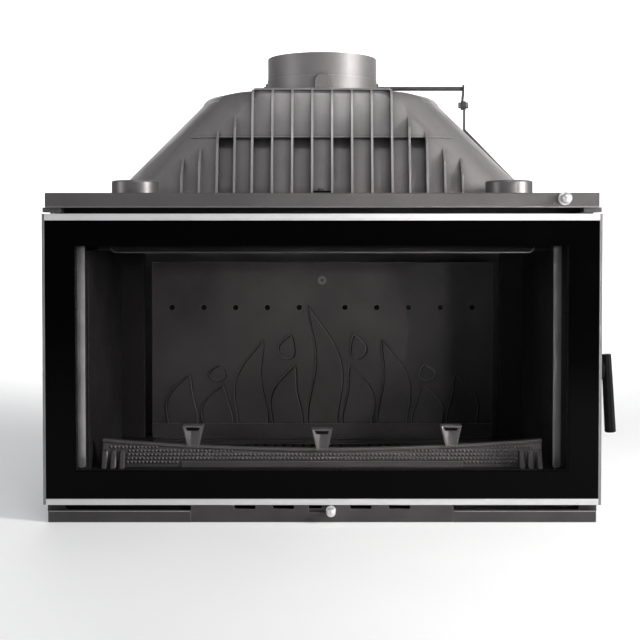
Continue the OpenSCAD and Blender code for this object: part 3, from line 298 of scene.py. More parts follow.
def castIron(name, look):
    f, mix = Finish(name), castMix
    look = {**castShared, **look}
    mottle = f.noise(look["mottle"], detail=5, rough=0.62)
    sand = f.noise(look["sand"], detail=3, rough=0.6)
    coarse = f.noise(look["sand"] / mix["coarser"], detail=2, rough=0.5)
    pits = f.span(f.cells(look["sand"] * mix["pitScale"]), *mix["pitSpan"])
    tone = f.blend(f.span(mottle, *mix["mottleSpan"]), look["low"], look["base"])
    tone = f.blend(f.span(sand, *mix["sandSpan"]) * mix["sandShare"], tone, look["base"])
    tone = f.blend((1 - pits) * mix["pitShare"], tone, look["low"])
    # edges lighten towards the worn tone: real wear, and a painted highlight along them
    wornHighlight = f.edges(look["edge"]) * f.span(coarse, *mix["chipSpan"])
    tone = f.blend(wornHighlight * look["wearHighlight"], tone, look["wornHighlight"])
    # painted shade: crevices, recesses and the bays between ribs darken towards the shade tone
    shadedCrevices = f.crevice(look["reach"], *look["open"])
    tone = f.blend(shadedCrevices * look["creviceShade"], tone, look["shadeTone"])
    low, high = look["rough"]
    mottleShare, sandShare = mix["roughShares"]
    rough = f.span(mottle * mottleShare + sand * sandShare, *mix["roughSpan"], high, low)
    fine, middling, deep = mix["relief"]
    normal = f.bump(sand * fine + coarse * middling + pits * deep, look["grit"], mix["depth"])
    return f.close(colour=tone, rough=rough, metal=look["metal"], normal=normal,
                   specular=look["shine"])


# Drawn or turned metal with fine lines along one axis
metals = {
    "brightSteel": {"base": (0.54, 0.54, 0.545), "low": (0.51, 0.51, 0.515), "metal": 0.35,
                    "rough": (0.44, 0.56), "lines": (4, 900, 900), "grit": 0.05},
    "plainSteel": {"base": (0.42, 0.41, 0.41), "low": (0.27, 0.26, 0.26), "metal": 0.85,
                   "rough": (0.34, 0.52), "lines": (500, 500, 40), "grit": 0.08},
    "polishedKnob": {"base": (0.66, 0.66, 0.67), "low": (0.60, 0.60, 0.61), "metal": 0.6,
                     "rough": (0.28, 0.36), "lines": (220, 220, 220), "grit": 0.015},
    "cheekSteel": {"base": (0.185, 0.181, 0.181), "low": (0.145, 0.142, 0.142), "metal": 0.2,
                   "rough": (0.40, 0.55), "lines": (500, 500, 30), "grit": 0.05},
    # one steel twice: a lit copy for the left mouth strip and a darker copy for the right one,
    # painted light and painted shade
    "bareStripLit": {"base": (0.50, 0.49, 0.49), "low": (0.36, 0.35, 0.35), "metal": 0.7,
                  "rough": (0.30, 0.46), "lines": (900, 900, 6), "grit": 0.05},
    "bareStripShaded": {"base": (0.15, 0.147, 0.147), "low": (0.11, 0.108, 0.108), "metal": 0.5,
                  "rough": (0.45, 0.6), "lines": (900, 900, 6), "grit": 0.05},
    "darkSteel": {"base": (0.105, 0.102, 0.104), "low": (0.055, 0.053, 0.054), "metal": 0.65,
                  "rough": (0.36, 0.54), "lines": (60, 60, 900), "grit": 0.06},
    "sheetSteel": {"base": (0.33, 0.33, 0.335), "low": (0.20, 0.20, 0.20), "metal": 0.7,
                   "rough": (0.38, 0.60), "lines": (16, 260, 260), "grit": 0.05},
}
# What all worked metals share
metalMix = {"smear": 26, "toneSpan": (0.36, 0.62), "roughSpan": (0.38, 0.62), "depth": 0.0004}


def workedMetal(name, look):
    f, mix = Finish(name), metalMix
    lines = f.noise(1.0, detail=3, rough=0.6, stretch=look["lines"])
    smear = f.noise(mix["smear"], detail=4, rough=0.6)
    mean = lines * 0.5 + smear * 0.5
    tone = f.blend(f.span(mean, *mix["toneSpan"]), look["low"], look["base"])
    rough = f.span(mean, *mix["roughSpan"], *look["rough"])
    normal = f.bump(lines, look["grit"], mix["depth"])
    return f.close(colour=tone, rough=rough, metal=look["metal"], normal=normal)


# Smooth black stove paint on the door frame and the handle
paints = {
    "framePaint": {"base": (0.012, 0.0115, 0.012), "dust": (0.045, 0.043, 0.043),
                   "rough": (0.42, 0.58), "peel": 320, "grit": 0.12, "shine": 0.2},
    "handleBlack": {"base": (0.0040, 0.0040, 0.0043), "dust": (0.008, 0.008, 0.0084),
                    "rough": (0.26, 0.38), "peel": 700, "grit": 0.04, "shine": 0.07},
}
# What both paints share
paintMix = {"dust": 34, "dustSpan": (0.5, 0.8), "dustShare": 0.5, "edge": 0.0009,
            "edgeShare": 0.35, "roughSpan": (0.35, 0.65), "depth": 0.0005}


def smoothPaint(name, look):
    f, mix = Finish(name), paintMix
    peel = f.noise(look["peel"], detail=2, rough=0.5)
    dust = f.noise(mix["dust"], detail=5, rough=0.65)
    tone = f.blend(f.span(dust, *mix["dustSpan"]) * mix["dustShare"],
                   look["base"], look["dust"])
    tone = f.blend(f.edges(mix["edge"]) * mix["edgeShare"], tone, look["dust"])
    rough = f.span(dust, *mix["roughSpan"], *look["rough"])
    normal = f.bump(peel, look["grit"], mix["depth"])
    return f.close(colour=tone, rough=rough, normal=normal, specular=look["shine"])


# The pane: clear in the window, black print round it, and a fade of dots between the two.
# Lengths in metres; dots as multiples of their pitch
paneLook = {
    "windowX": 0.4095, "windowZ": (0.0823, 0.4590), "fade": 0.0075, "pitch": 0.0021,
    "dot": 1.25, "print": (0.0003, 0.0003, 0.0003), "clear": (0.003, 0.003, 0.003),
    "veil": 0.04, "rough": 0.09, "smear": 14, "smearSpan": (0.35, 0.65),
    "smearRough": (0.7, 1.6), "shine": 0.05, "wholeTurns": 1000.0,
}


def printedPane(name, look):
    f = Finish(name)
    spot = f.place()
    x, z = f.part(spot, "X"), f.part(spot, "Z")
    low, high = look["windowZ"]
    middle, half = (low + high) / 2, (high - low) / 2
    # distance inside the window's edge
    insideX = look["windowX"] - abs(x)
    insideZ = half - abs(z - middle)
    inside = f.node("Math", {"operation": "MINIMUM"}, {0: insideX, 1: insideZ})

    # rows of dots that shrink towards the clear middle; the whole turns keep it positive
    def wave(v):
        turns = v / look["pitch"] + look["wholeTurns"]
        return abs(f.node("Math", {"operation": "FRACT"}, {0: turns}) - 0.5) * 2

    ring = f.node("Math", {"operation": "SQRT"}, {0: wave(x) ** 2 + wave(z) ** 2})
    dots = ring < f.span(inside, 0.0, look["fade"], look["dot"], 0.0)
    printed = f.node("Math", {"operation": "MAXIMUM"}, {0: dots, 1: inside < 0.0})
    alpha = f.span(printed, 0.0, 1.0, look["veil"], 1.0)
    tone = f.blend(printed, look["clear"], look["print"])
    smear = f.noise(look["smear"], detail=3, rough=0.6)
    low, high = (look["rough"] * share for share in look["smearRough"])
    rough = f.span(smear, *look["smearSpan"], low, high)
    return f.close(colour=tone, rough=rough, alpha=alpha, specular=look["shine"])


# Glass fibre of the seals
ropeLook = {"base": (0.16, 0.157, 0.15), "low": (0.05, 0.049, 0.047), "fibre": 1500,
            "clumps": 120, "shares": (0.6, 0.4), "toneSpan": (0.36, 0.62), "rough": (0.85, 0.98),
            "roughSpan": (0.3, 0.7), "grit": 0.5, "depth": 0.0004, "sheen": 0.2}


def glassRope(name, look):
    f = Finish(name)
    fibre = f.noise(look["fibre"], detail=3, rough=0.7)
    clumps = f.noise(look["clumps"], detail=4, rough=0.6)
    fibreShare, clumpShare = look["shares"]
    mean = fibre * fibreShare + clumps * clumpShare
    tone = f.blend(f.span(mean, *look["toneSpan"]), look["low"], look["base"])
    rough = f.span(fibre, *look["roughSpan"], *look["rough"])
    normal = f.bump(fibre, look["grit"], look["depth"])
    return f.close(colour=tone, rough=rough, normal=normal, sheen=look["sheen"])


# The pale studio floor
floorLook = {"base": (0.95, 0.95, 0.95), "low": (0.925, 0.925, 0.93), "cloud": 1.4,
             "cloudSpan": (0.35, 0.65), "rough": (0.55, 0.7), "shine": 0.3}


def paleFloor(name, look):
    f = Finish(name)
    cloud = f.noise(look["cloud"], detail=3, rough=0.5)
    tone = f.blend(f.span(cloud, *look["cloudSpan"]), look["low"], look["base"])
    rough = f.span(cloud, *look["cloudSpan"], *look["rough"])
    return f.close(colour=tone, rough=rough, specular=look["shine"])


recipes = [
    (castIron, castings), (workedMetal, metals), (smoothPaint, paints),
    (printedPane, {"printedPane": paneLook}), (glassRope, {"glassRope": ropeLook}),
    (paleFloor, {"paleFloor": floorLook}),
]
finishes = {name: recipe(name, look) for recipe, looks in recipes
            for name, look in looks.items()}
print("finishes made:", len(finishes))

# CAD nodes by finish; the ones that a fuller piece replaces get theirs here too
nodeFinishes = {
    "greyCasting": ["flue_seat"],
    "hoodIron": ["hood"],
    "collarIron": ["flue_collar"],
    # the hood clamp in near black paints the shade of its slot
    "nearBlackShade": ["hood_clamp"],
    "railCasting": ["top_plate", "upper_hinge_lugs"],
    "capCasting": ["cap_left", "cap_right"],
    "darkCasting": ["base_casting", "air_inlet_plate", "lower_hinge_lugs", "damper_flap",
                    "air_slide"],
    "firebackCasting": ["fireback"],
    "guardCasting": ["log_guard", "fireback_screw"],
    "cupCasting": ["guard_cups"],
    # these parts lie in shade, so they get the darker casting: painted shade
    "castingInShade": ["front_frame", "hearth_plate", "side_liner_left", "side_liner_right",
                    "corner_post_left", "corner_post_right", "baffle", "air_deflector",
                    "grate"],
    "shellCasting": ["side_wall_left", "side_wall_right", "back_wall", "fireback_spacer"],
    "brightSteel": ["door_trim_top", "door_trim_bottom", "damper_washer", "air_stem"],
    "plainSteel": ["crank_screw", "crank_nut", "hinge_pins", "striker_pin", "handle_spindle",
                   "latch_hook"],
    "polishedKnob": ["air_knob", "damper_knob"],
    "darkSteel": ["damper_shaft", "damper_crank", "pull_rod", "clamp_bolt"],
    "sheetSteel": ["ash_pan"],
    "framePaint": ["door_frame"],
    "cheekSteel": ["door_cheek_left", "door_cheek_right"],
    "handleBlack": ["handle_hub", "handle_grip"],
    "printedPane": ["door_glass"],
    "glassRope": ["glass_gasket", "door_rope"],
}


def paint(thing, finish):
    thing.data.materials.clear()
    thing.data.materials.append(finishes[finish])


finishOf = {node: finish for finish, nodes in nodeFinishes.items() for node in nodes}
for node, finish in finishOf.items():
    paint(frame["nodes"][node], finish)
missing = set(frame["nodes"]) - set(finishOf)
print("CAD nodes painted, without a finish:", sorted(missing))


# Steps that most pieces share
bodyOf = {node: body for body, nodes in frame["record"]["behaviour"]["bodies"].items()
          for node in nodes}
# The share of a normal along an axis from which a face counts as facing that way
facing = 0.9


# Selects objects and makes the first the active one
def take(*things):
    deselect()
    for thing in things:
        thing.select_set(True)
    bpy.context.view_layer.objects.active = things[0]


# Puts a finished object's place into its mesh and lets it ride
def settle(thing, name, body, finish, hides=()):
    take(thing)
    bpy.ops.object.transform_apply(location=True, rotation=True, scale=True)
    thing.name = name
    paint(thing, finish)
    if hides:
        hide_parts(*hides)
    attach(thing, body)
    deselect()


# A new object in the scene from data made before
def link(name, data):
    thing = bpy.data.objects.new(name, data)
    bpy.context.scene.collection.objects.link(thing)
    return thing


# A box between three pairs of bounds
def addBox(x, y, z):
    deselect()
    bpy.ops.mesh.primitive_cube_add(size=1, location=[(a + b) / 2 for a, b in (x, y, z)])
    box = bpy.context.object
    box.scale = [b - a for a, b in (x, y, z)]
    bpy.ops.object.transform_apply(location=True, rotation=False, scale=True)
    return box


# Rounds the edges that turn by more than an angle
def ease(thing, width, steps, sharp=30):
    easing = thing.modifiers.new("easing", "BEVEL")
    easing.width, easing.segments = width, steps
    easing.limit_method = "ANGLE"
    easing.angle_limit = math.radians(sharp)
    bpy.context.view_layer.objects.active = thing
    bpy.ops.object.modifier_apply(modifier=easing.name)


def shade(thing, angle=30):
    take(thing)
    bpy.ops.object.shade_smooth_by_angle(angle=math.radians(angle))


def join(things):
    take(*things)
    bpy.ops.object.join()
    return bpy.context.object


# Selects the edges or faces that pass a test; the object stays in edit mode
def pick(thing, kind, test):
    take(thing)
    bpy.ops.object.mode_set(mode="EDIT")
    bpy.ops.mesh.select_mode(type=kind)
    bpy.ops.mesh.select_all(action="DESELECT")
    bpy.ops.object.mode_set(mode="OBJECT")
    for item in thing.data.edges if kind == "EDGE" else thing.data.polygons:
        item.select = test(item)
    bpy.ops.object.mode_set(mode="EDIT")


def pickAll(thing):
    take(thing)
    bpy.ops.object.mode_set(mode="EDIT")
    bpy.ops.mesh.select_all(action="SELECT")


# Places of an edge's two ends
def ends(thing, edge):
    return [thing.data.vertices[i].co for i in edge.vertices]


# CAD nodes redone: metres and degrees for what is welded, what is flat and what is sharp
copyMix = {"weld": 0.00002, "flat": 0.4, "sharp": 35, "steps": 2}


# A copy of a CAD node with its triangles joined, so that its curves shade smoothly
def smoothCopy(node, name, angle):
    source = frame["nodes"][node]
    copy = link(name, source.data.copy())
    copy.matrix_world = source.matrix_world.copy()
    pickAll(copy)
    bpy.ops.mesh.remove_doubles(threshold=copyMix["weld"])
    bpy.ops.object.mode_set(mode="OBJECT")
    if copy.data.has_custom_normals:
        bpy.ops.mesh.customdata_custom_splitnormals_clear()
    shade(copy, angle)
    return copy


# The same with its sharp edges eased, so that they catch the light
def easedCopy(node, name, angle, width):
    copy = smoothCopy(node, name, angle)
    pickAll(copy)
    bpy.ops.mesh.dissolve_limited(angle_limit=math.radians(copyMix["flat"]))
    bpy.ops.object.mode_set(mode="OBJECT")
    ease(copy, width, copyMix["steps"], copyMix["sharp"])
    shade(copy, angle)
    return copy


# For each CAD node its piece's name, the angle it is smooth up to, and its easing in metres
softened = {
    "hood": ("hoodCasting", 24, 0.0010), "flue_seat": ("flueSeat", 30, 0.0010),
    "flue_collar": ("flueCollar", 30, 0.0009), "cap_left": ("ductCapLeft", 30, 0.0016),
    "cap_right": ("ductCapRight", 30, 0.0016), "top_plate": ("topPlate", 30, 0.0012),
    "base_casting": ("baseCasting", 30, 0.0012),
    "air_inlet_plate": ("airInletPlate", 30, 0.0009),
    "guard_cups": ("guardCups", 20, 0.0006), "log_guard": ("logGuard", 12, 0.0008),
    "corner_post_left": ("cornerPostLeft", 30, 0.0014),
    "corner_post_right": ("cornerPostRight", 30, 0.0014),
    "side_liner_left": ("sideLinerLeft", 30, 0.0012),
    "side_liner_right": ("sideLinerRight", 30, 0.0012),
    "air_deflector": ("airDeflector", 30, 0.0014), "fireback": ("fireback", 24, 0.0011),
    "fireback_screw": ("firebackScrew", 30, 0.0004), "front_frame": ("frontFrame", 30, 0.0008),
    "door_trim_top": ("doorTrimTop", 30, 0.0006),
    "door_trim_bottom": ("doorTrimBottom", 30, 0.0006),
    "door_cheek_left": ("doorCheekLeft", 30, 0.0006),
    "door_cheek_right": ("doorCheekRight", 30, 0.0006),
    "hood_clamp": ("hoodClamp", 30, 0.0006), "clamp_bolt": ("clampBolt", 30, 0.0005),
    "damper_shaft": ("damperShaft", 40, 0.0004), "damper_crank": ("damperCrank", 30, 0.0005),
    "pull_rod": ("pullRod", 40, 0), "crank_screw": ("crankScrew", 30, 0.0003),
    "crank_nut": ("crankNut", 30, 0.0003), "damper_knob": ("damperKnob", 50, 0),
    "damper_washer": ("damperWasher", 30, 0.0003), "air_knob": ("airKnob", 50, 0),
    "air_stem": ("airStem", 30, 0.0003), "handle_hub": ("handleHub", 30, 0.0008),
    "handle_spindle": ("handleSpindle", 30, 0.0003), "hinge_pins": ("hingePins", 40, 0.0004),
    "upper_hinge_lugs": ("upperHingeLugs", 30, 0.0008),
    "lower_hinge_lugs": ("lowerHingeLugs", 30, 0.0008), "latch_hook": ("latchHook", 30, 0.0005),
}
# The hood's shoulders stand a little further out: height, extra half width left and right.
# Foot and top give the half width by height; inner and outer bound the band that moves
shoulders = {
    "rows": [(0.530, 0.002, 0), (0.570, 0.0045, 0), (0.610, 0.006, 0.0003),
             (0.650, 0.0068, 0.0010), (0.690, 0.009, 0.0038), (0.710, 0.013, 0.0080),
             (0.722, 0.021, 0.0150), (0.740, 0.030, 0.0230)],
    "foot": (0.530, 0.389), "top": (0.730, 0.1848), "inner": 0.060, "outer": 0.020,
}
# The pins' facets turn inside the door's bores, so their copies are a hair thinner
pinEase = 0.00012


def widenShoulders(hood, s):
    (z0, x0), (z1, x1) = s["foot"], s["top"]
    for v in hood.data.vertices:
        z = min(max(v.co.z, z0), z1)
        half = x0 + (x1 - x0) * (z - z0) / (z1 - z0)
        share = (abs(v.co.x) - half + s["inner"]) / (s["inner"] - s["outer"])
        share = min(max(share, 0), 1)
        share = share * share * (3 - 2 * share)      # a soft start and end
        side = 2 if v.co.x > 0 else 1
        extra = s["rows"][0][side]
        for low, high in zip(s["rows"], s["rows"][1:]):
            if low[0] <= z <= high[0]:
                rise = (z - low[0]) / (high[0] - low[0])
                extra = low[side] + (high[side] - low[side]) * rise
        v.co.x += math.copysign(extra * share, v.co.x)


def slim(thing, inward):
    pickAll(thing)
    bpy.ops.mesh.normals_make_consistent(inside=False)
    bpy.ops.transform.shrink_fatten(value=-inward)
    bpy.ops.object.mode_set(mode="OBJECT")


for node, (name, angle, easing) in softened.items():
    copy = easedCopy(node, name, angle, easing) if easing else smoothCopy(node, name, angle)
    if node == "hood":
        widenShoulders(copy, shoulders)
    if node == "hinge_pins":
        slim(copy, pinEase)
    settle(copy, name, bodyOf[node], finishOf[node], (node,))
print("softened copies:", len(softened))

# The log guard's cast studs: their grid, their own shape and the fields that stay bare
studs = {
    "pitch": 0.0065, "slip": 0.0011, "sides": 8, "radius": 0.0030, "tip": 0.0011,
    "height": 0.0019, "edge": 0.0004, "sunk": 0.0002,
    "face": -0.1774, "halfW": 0.3655, "floor": 0.078, "first": 0.0150, "rows": 6,
    "endH": 0.049, "sag": 0.016, "beyond": 0.0095, "rim": 0.0076,
    "barX": 0.243, "barTop": 0.0905, "footX": 0.334, "footTop": 0.108,
}


def guardEdge(x, s):
    full = s["halfW"] + s["beyond"]
    return s["floor"] + s["endH"] - s["sag"] * (1 - (x / full) ** 2)


# Places of the studs between the guard's rim, its bars and its feet
def studSpots(s):
    columns = int(2 * s["halfW"] / s["pitch"]) + 1
    spots = []
    for row in range(s["rows"]):
        z = s["floor"] + s["first"] + (row - 1) * s["pitch"]
        for column in range(columns):
            x = -s["halfW"] + column * s["pitch"] + row * s["slip"]
            outside = abs(x) > s["halfW"] or z > guardEdge(x, s) - s["rim"]
            onBar = abs(x) < s["barX"] and z < s["barTop"]
            onFoot = abs(x) > s["footX"] and z < s["footTop"]
            if not (outside or onBar or onFoot):
                spots.append((x, z))
    return spots


def makeStuds(s, spots):
    deselect()
    place = (0, s["face"] - s["height"] / 2 + s["sunk"], 0)
    bpy.ops.mesh.primitive_cone_add(vertices=s["sides"], radius1=s["radius"],
                                    radius2=s["tip"], depth=s["height"], end_fill_type="NGON",
                                    location=place, rotation=(math.radians(90), 0, 0))
    stud = bpy.context.object
    bpy.ops.object.transform_apply(location=True, rotation=True, scale=True)
    pickAll(stud)
    bpy.ops.mesh.bevel(offset=s["edge"], segments=1, affect="EDGES")
    bpy.ops.object.mode_set(mode="OBJECT")
    made = []
    for x, z in spots:
        copy = link("stud", stud.data.copy())
        copy.data.transform(Matrix.Translation((x, 0, z)))
        made.append(copy)
    bpy.data.objects.remove(stud)
    return join(made)


spots = studSpots(studs)
settle(makeStuds(studs, spots), "guardStuds", "body", "guardCasting")
print("guard studs:", len(spots))


# Braided seals of the door, each a closed path round it: metres, strands and their pitch
doorSeal = {"halfX": 0.419, "z": (0.0726, 0.4686), "y": (-0.2160, -0.2113), "width": 0.0100,
            "corner": 0.012, "strands": 8, "pitch": 0.018, "weave": 0.0009}
glassSeal = {"halfX": 0.414, "z": (0.0776, 0.4636), "y": (-0.2407, -0.2387), "width": 0.0096,
             "corner": 0.010, "strands": 6, "pitch": 0.012, "weave": 0.0004}
# Points along one pitch and round one strand, corner points, and how square the section is
sealMix = {"along": 8, "around": 4, "corner": 6, "square": 0.75}


# Points round a rectangle with round corners, in X and Z, an even step apart
def sealPath(seal, step):
    halfX, (low, high), r = seal["halfX"], seal["z"], seal["corner"]
    middle, halfZ = (low + high) / 2, (high - low) / 2
    runs = []
    for turn, (sx, sz) in enumerate(((1, 1), (-1, 1), (-1, -1), (1, -1))):
        centre = Vector((sx * (halfX - r), middle + sz * (halfZ - r)))
        for k in range(sealMix["corner"] + 1):
            a = math.radians(90 * (turn + k / sealMix["corner"]))
            runs.append(centre + r * Vector((math.cos(a), math.sin(a))))
    runs.append(runs[0])
    length = sum((b - a).length for a, b in zip(runs, runs[1:]))
    count = int(length / step)
    spots, at, k = [], 0.0, 0
    for i in range(count):
        goal = i * length / count
        while at + (runs[k + 1] - runs[k]).length < goal:
            at += (runs[k + 1] - runs[k]).length
            k += 1
        share = (goal - at) / (runs[k + 1] - runs[k]).length
        spots.append(runs[k].lerp(runs[k + 1], share))
    return spots, length


# Cosine or sine of a squared-off oval
def square(value):
    return math.copysign(abs(value) ** sealMix["square"], value)


# A flattened braid: round its section the skin rises and falls with two sets of strands
def makeSeal(name, seal):
    around = sealMix["around"] * seal["strands"]
    spots, length = sealPath(seal, seal["pitch"] / sealMix["along"])
    turns = round(length / seal["pitch"])
    y0, y1 = seal["y"]
    thick = (y1 - y0) / 2
    verts, faces = [], []
    count = len(spots)
    for i, spot in enumerate(spots):
        along = (spots[(i + 1) % count] - spots[i - 1]).normalized()
        out = Vector((along.y, -along.x))
        phase = 2 * math.pi * turns * i / count
        for k in range(around):
            a = 2 * math.pi * k / around
            lay = seal["strands"] / 2 * a
            weave = abs(math.sin((lay + phase) / 2)) + abs(math.sin((lay - phase) / 2))
            dip = seal["weave"] * (1 - weave / 2)
            side = out * (seal["width"] / 2 - dip) * square(math.cos(a))
            y = (y0 + y1) / 2 + (thick - dip) * square(math.sin(a))
            verts.append((spot.x + side.x, y, spot.y + side.y))
    for i in range(count):
        here, there = i * around, (i + 1) % count * around
        for k in range(around):
            after = (k + 1) % around
            faces.append((here + k, here + after, there + after, there + k))
    mesh = bpy.data.meshes.new(name)
    mesh.from_pydata(verts, [], faces)
    thing = link(name, mesh)
    pickAll(thing)
    bpy.ops.mesh.normals_make_consistent(inside=False)
    bpy.ops.object.mode_set(mode="OBJECT")
    bpy.ops.object.shade_smooth()
    return thing


for node, name, seal in (("door_rope", "doorRope", doorSeal),
                         ("glass_gasket", "glassTape", glassSeal)):
    settle(makeSeal(name, seal), name, "door", "glassRope", (node,))
print("door seals braided")

# The handle's grip: eight shallow flutes on a bar that widens downwards and leans
grip = {"length": 0.131, "topR": 0.00833, "lowR": 0.00925, "flutes": 8, "depth": 0.0007,
        "top": (0.47226, -0.226, 0.2772), "lean": 3.5, "around": 64, "edge": 0.0022,
        "steps": 4, "sharp": 60, "smooth": 35}


def makeGrip(g):
    deselect()
    bpy.ops.mesh.primitive_cylinder_add(vertices=g["around"], radius=1, depth=1,
                                        location=(0, 0, -0.5))
    bar = bpy.context.object
    bpy.ops.object.transform_apply(location=True, rotation=True, scale=True)
    for v in bar.data.vertices:
        a = math.atan2(v.co.y, v.co.x)
        share = -v.co.z
        r = g["topR"] + (g["lowR"] - g["topR"]) * share
        r -= g["depth"] * (0.5 + 0.5 * math.cos(g["flutes"] * a)) ** 2
        v.co = Vector((math.cos(a) * r, math.sin(a) * r, -share * g["length"]))
    ease(bar, g["edge"], g["steps"], g["sharp"])
    shade(bar, g["smooth"])
    bar.rotation_euler = (0, math.radians(-g["lean"]), 0)
    bar.location = g["top"]
    return bar


settle(makeGrip(grip), "handleGrip", "handle", "handleBlack", ("handle_grip",))
print("grip fluted")

# Bare steel strips on the firebox mouth, seen through the glass beside its edges; the left one
# lit and the right one shaded by their finishes, painted light and painted shade
mouthStrip = {"left": (-0.4110, -0.3972), "right": (0.3872, 0.4005),
              "y": (-0.2118, -0.2111), "z": (0.084, 0.4635),
              "round": 0.004, "roundSteps": 5, "edge": 0.0002, "steps": 2}


def makeMouthStrip(name, s, side, finish):
    strip = addBox(s[side], s["y"], s["z"])
    thick = s["y"][1] - s["y"][0]

    def corner(edge):
        a, b = ends(strip, edge)
        return abs(a.y - b.y) > thick / 2

    pick(strip, "EDGE", corner)
    bpy.ops.mesh.bevel(offset=s["round"], segments=s["roundSteps"], affect="EDGES")
    bpy.ops.object.mode_set(mode="OBJECT")
    ease(strip, s["edge"], s["steps"])
    shade(strip)
    settle(strip, name, "body", finish)


makeMouthStrip("mouthStripLeft", mouthStrip, "left", "bareStripLit")
makeMouthStrip("mouthStripRight", mouthStrip, "right", "bareStripShaded")
print("mouth strips laid")

# Tapered buttresses on the guard's ends: place along X, foot radius, top radius, set back
guardFeet = {"spots": [(0.3555, 0.0068, 0.0032, 0.0), (0.3425, 0.0066, 0.0032, 0.0004),
                       (0.3690, 0.0052, 0.0030, 0.0022)],
             "y": -0.1822, "foot": 0.0781, "height": 0.0285, "lean": 9, "around": 20,
             "edge": 0.0012, "steps": 3, "sharp": 50, "smooth": 40}


def makeGuardFeet(name, g, side):
    made = []
    for x, low, high, back in g["spots"]:
        deselect()
        place = (side * x, g["y"] + back, g["foot"] + g["height"] / 2)
        bpy.ops.mesh.primitive_cone_add(vertices=g["around"], radius1=low, radius2=high,
                                        depth=g["height"], end_fill_type="NGON",
                                        location=place)
        foot = bpy.context.object
        bpy.ops.object.transform_apply(location=True, rotation=True, scale=True)
        # each leans back to the guard's face as it rises
        for v in foot.data.vertices:
            v.co.y += (v.co.z - g["foot"]) * math.tan(math.radians(g["lean"]))
        ease(foot, g["edge"], g["steps"], g["sharp"])
        made.append(foot)
    feet = join(made)
    shade(feet, g["smooth"])
    settle(feet, name, "body", "guardCasting")


makeGuardFeet("guardFeetLeft", guardFeet, -1)
makeGuardFeet("guardFeetRight", guardFeet, 1)

# Low ribs across the hearth behind the guard
hearthRibs = {"y": (0.104, 0.076, 0.047), "halfW": 0.325, "width": 0.009, "floor": 0.0778,
              "height": 0.0034, "edge": 0.0012, "steps": 3, "smooth": 40}


def makeHearthRibs(h):
    made = []
    for y in h["y"]:
        rib = addBox((-h["halfW"], h["halfW"]), (y - h["width"] / 2, y + h["width"] / 2),
                     (h["floor"], h["floor"] + h["height"]))
        ease(rib, h["edge"], h["steps"])
        made.append(rib)
    ribs = join(made)
    shade(ribs, h["smooth"])
    settle(ribs, "hearthRibs", "body", "innerCasting")


makeHearthRibs(hearthRibs)
print("guard feet and hearth ribs made")

# A rolled lip under the air deflector, its ends turned up, in the lighter guard casting: a
# painted highlight along the deflector's lower edge
deflectorLip = {"halfW": 0.3560, "turn": 0.0070, "y": (-0.2036, -0.2020),
                "z": (0.4448, 0.4464), "edge": 0.0003, "steps": 2}


def makeDeflectorLip(d):
    straight = d["halfW"] - d["turn"]
    lip = addBox((-straight, straight), d["y"], d["z"])
    for side in (-1, 1):
        pick(lip, "FACE", lambda face: face.normal.x * side > facing)
        bpy.ops.mesh.extrude_region_move(
            TRANSFORM_OT_translate={"value": (side * d["turn"], 0, d["turn"])})
        bpy.ops.object.mode_set(mode="OBJECT")
    ease(lip, d["edge"], d["steps"])
    shade(lip)
    settle(lip, "deflectorLip", "body", "guardCasting")


makeDeflectorLip(deflectorLip)

# Ears of the front frame, which close the corners between the rail and the door
frameEars = {"x": (0.4295, 0.4545), "y": (-0.2108, -0.2040), "z": (0.5102, 0.5198),
             "round": 0.0030, "roundSteps": 5, "edge": 0.0006, "steps": 2}


def makeFrameEar(name, e, side):
    (x0, x1), (y0, y1), (z0, z1) = e["x"], e["y"], e["z"]
    ear = addBox(sorted((side * x0, side * x1)), e["y"], e["z"])

    # the lower edge of the outer end
    def lowCorner(edge):
        a, b = ends(ear, edge)
        outer = (a.x + b.x) / 2 * side > (x0 + x1) / 2
        return outer and abs(a.y - b.y) > (y1 - y0) / 2 and max(a.z, b.z) < (z0 + z1) / 2

    pick(ear, "EDGE", lowCorner)
    bpy.ops.mesh.bevel(offset=e["round"], segments=e["roundSteps"], affect="EDGES")
    bpy.ops.object.mode_set(mode="OBJECT")
    ease(ear, e["edge"], e["steps"])
    shade(ear)
    # as dark as the firebox parts in shade: painted shade in the corner
    settle(ear, name, "body", "castingInShade")


makeFrameEar("frameEarLeft", frameEars, -1)
makeFrameEar("frameEarRight", frameEars, 1)
print("deflector lip and frame ears made")

# Rims of the flame relief in the lighter guard casting, a painted highlight, and a near-black
# bead beside each, a painted shadow, on the same flames as the fireback's own: their spacing and
# sizes as shares, then their beads in metres
flameRims = {
    "reach": 0.334, "pitch": 0.205, "width": 0.84, "height": 0.232, "fall": 0.58, "count": 4,
    "low": 0.58, "dropHeight": 0.24, "dropWidth": 0.5, "dropRise": 0.06, "belly": 1.5,
    "sway": 0.13, "turn": 250, "steps": 18, "foot": 0.10552, "face": 0.1236,
    "rim": 0.0013, "shade": 0.0012, "beside": (0.0019, 0.0005, -0.0011),
}


# The outline of a flame, which swells above its foot, or of a drop, which is round there
def flameLine(f, width, height, side, drop):
    right, left = [], []
    for k in range(f["steps"] + 1):
        t = k / f["steps"]
        middle = side * height * f["sway"] * t * math.sin(math.radians(f["turn"] * t))
        swell = 2 * math.sqrt(t) * (1 + t / 2) if drop else 1 + f["belly"] * t
        half = width / 2 * (1 - t) * swell
        right.append((middle + half, height * t))
        left.append((middle - half, height * t))
    return right + left[-2::-1]


# Flames from left to right, every other one low with a drop over it
def flameLines(f):
    pitch = f["reach"] * f["pitch"]
    found = []
    for i in range(-f["count"], f["count"] + 1):
        side = -1 if i < 0 else 1
        tall = f["height"] * (1 - f["fall"] * abs(i) / f["count"])
        height = tall * f["low"] if i % 2 else tall
        found.append((i * pitch, 0, flameLine(f, pitch * f["width"], height, side, False)))
        if i % 2:
            drop = flameLine(f, pitch * f["dropWidth"], tall * f["dropHeight"], side, True)
            found.append((i * pitch, height + tall * f["dropRise"], drop))
    return found


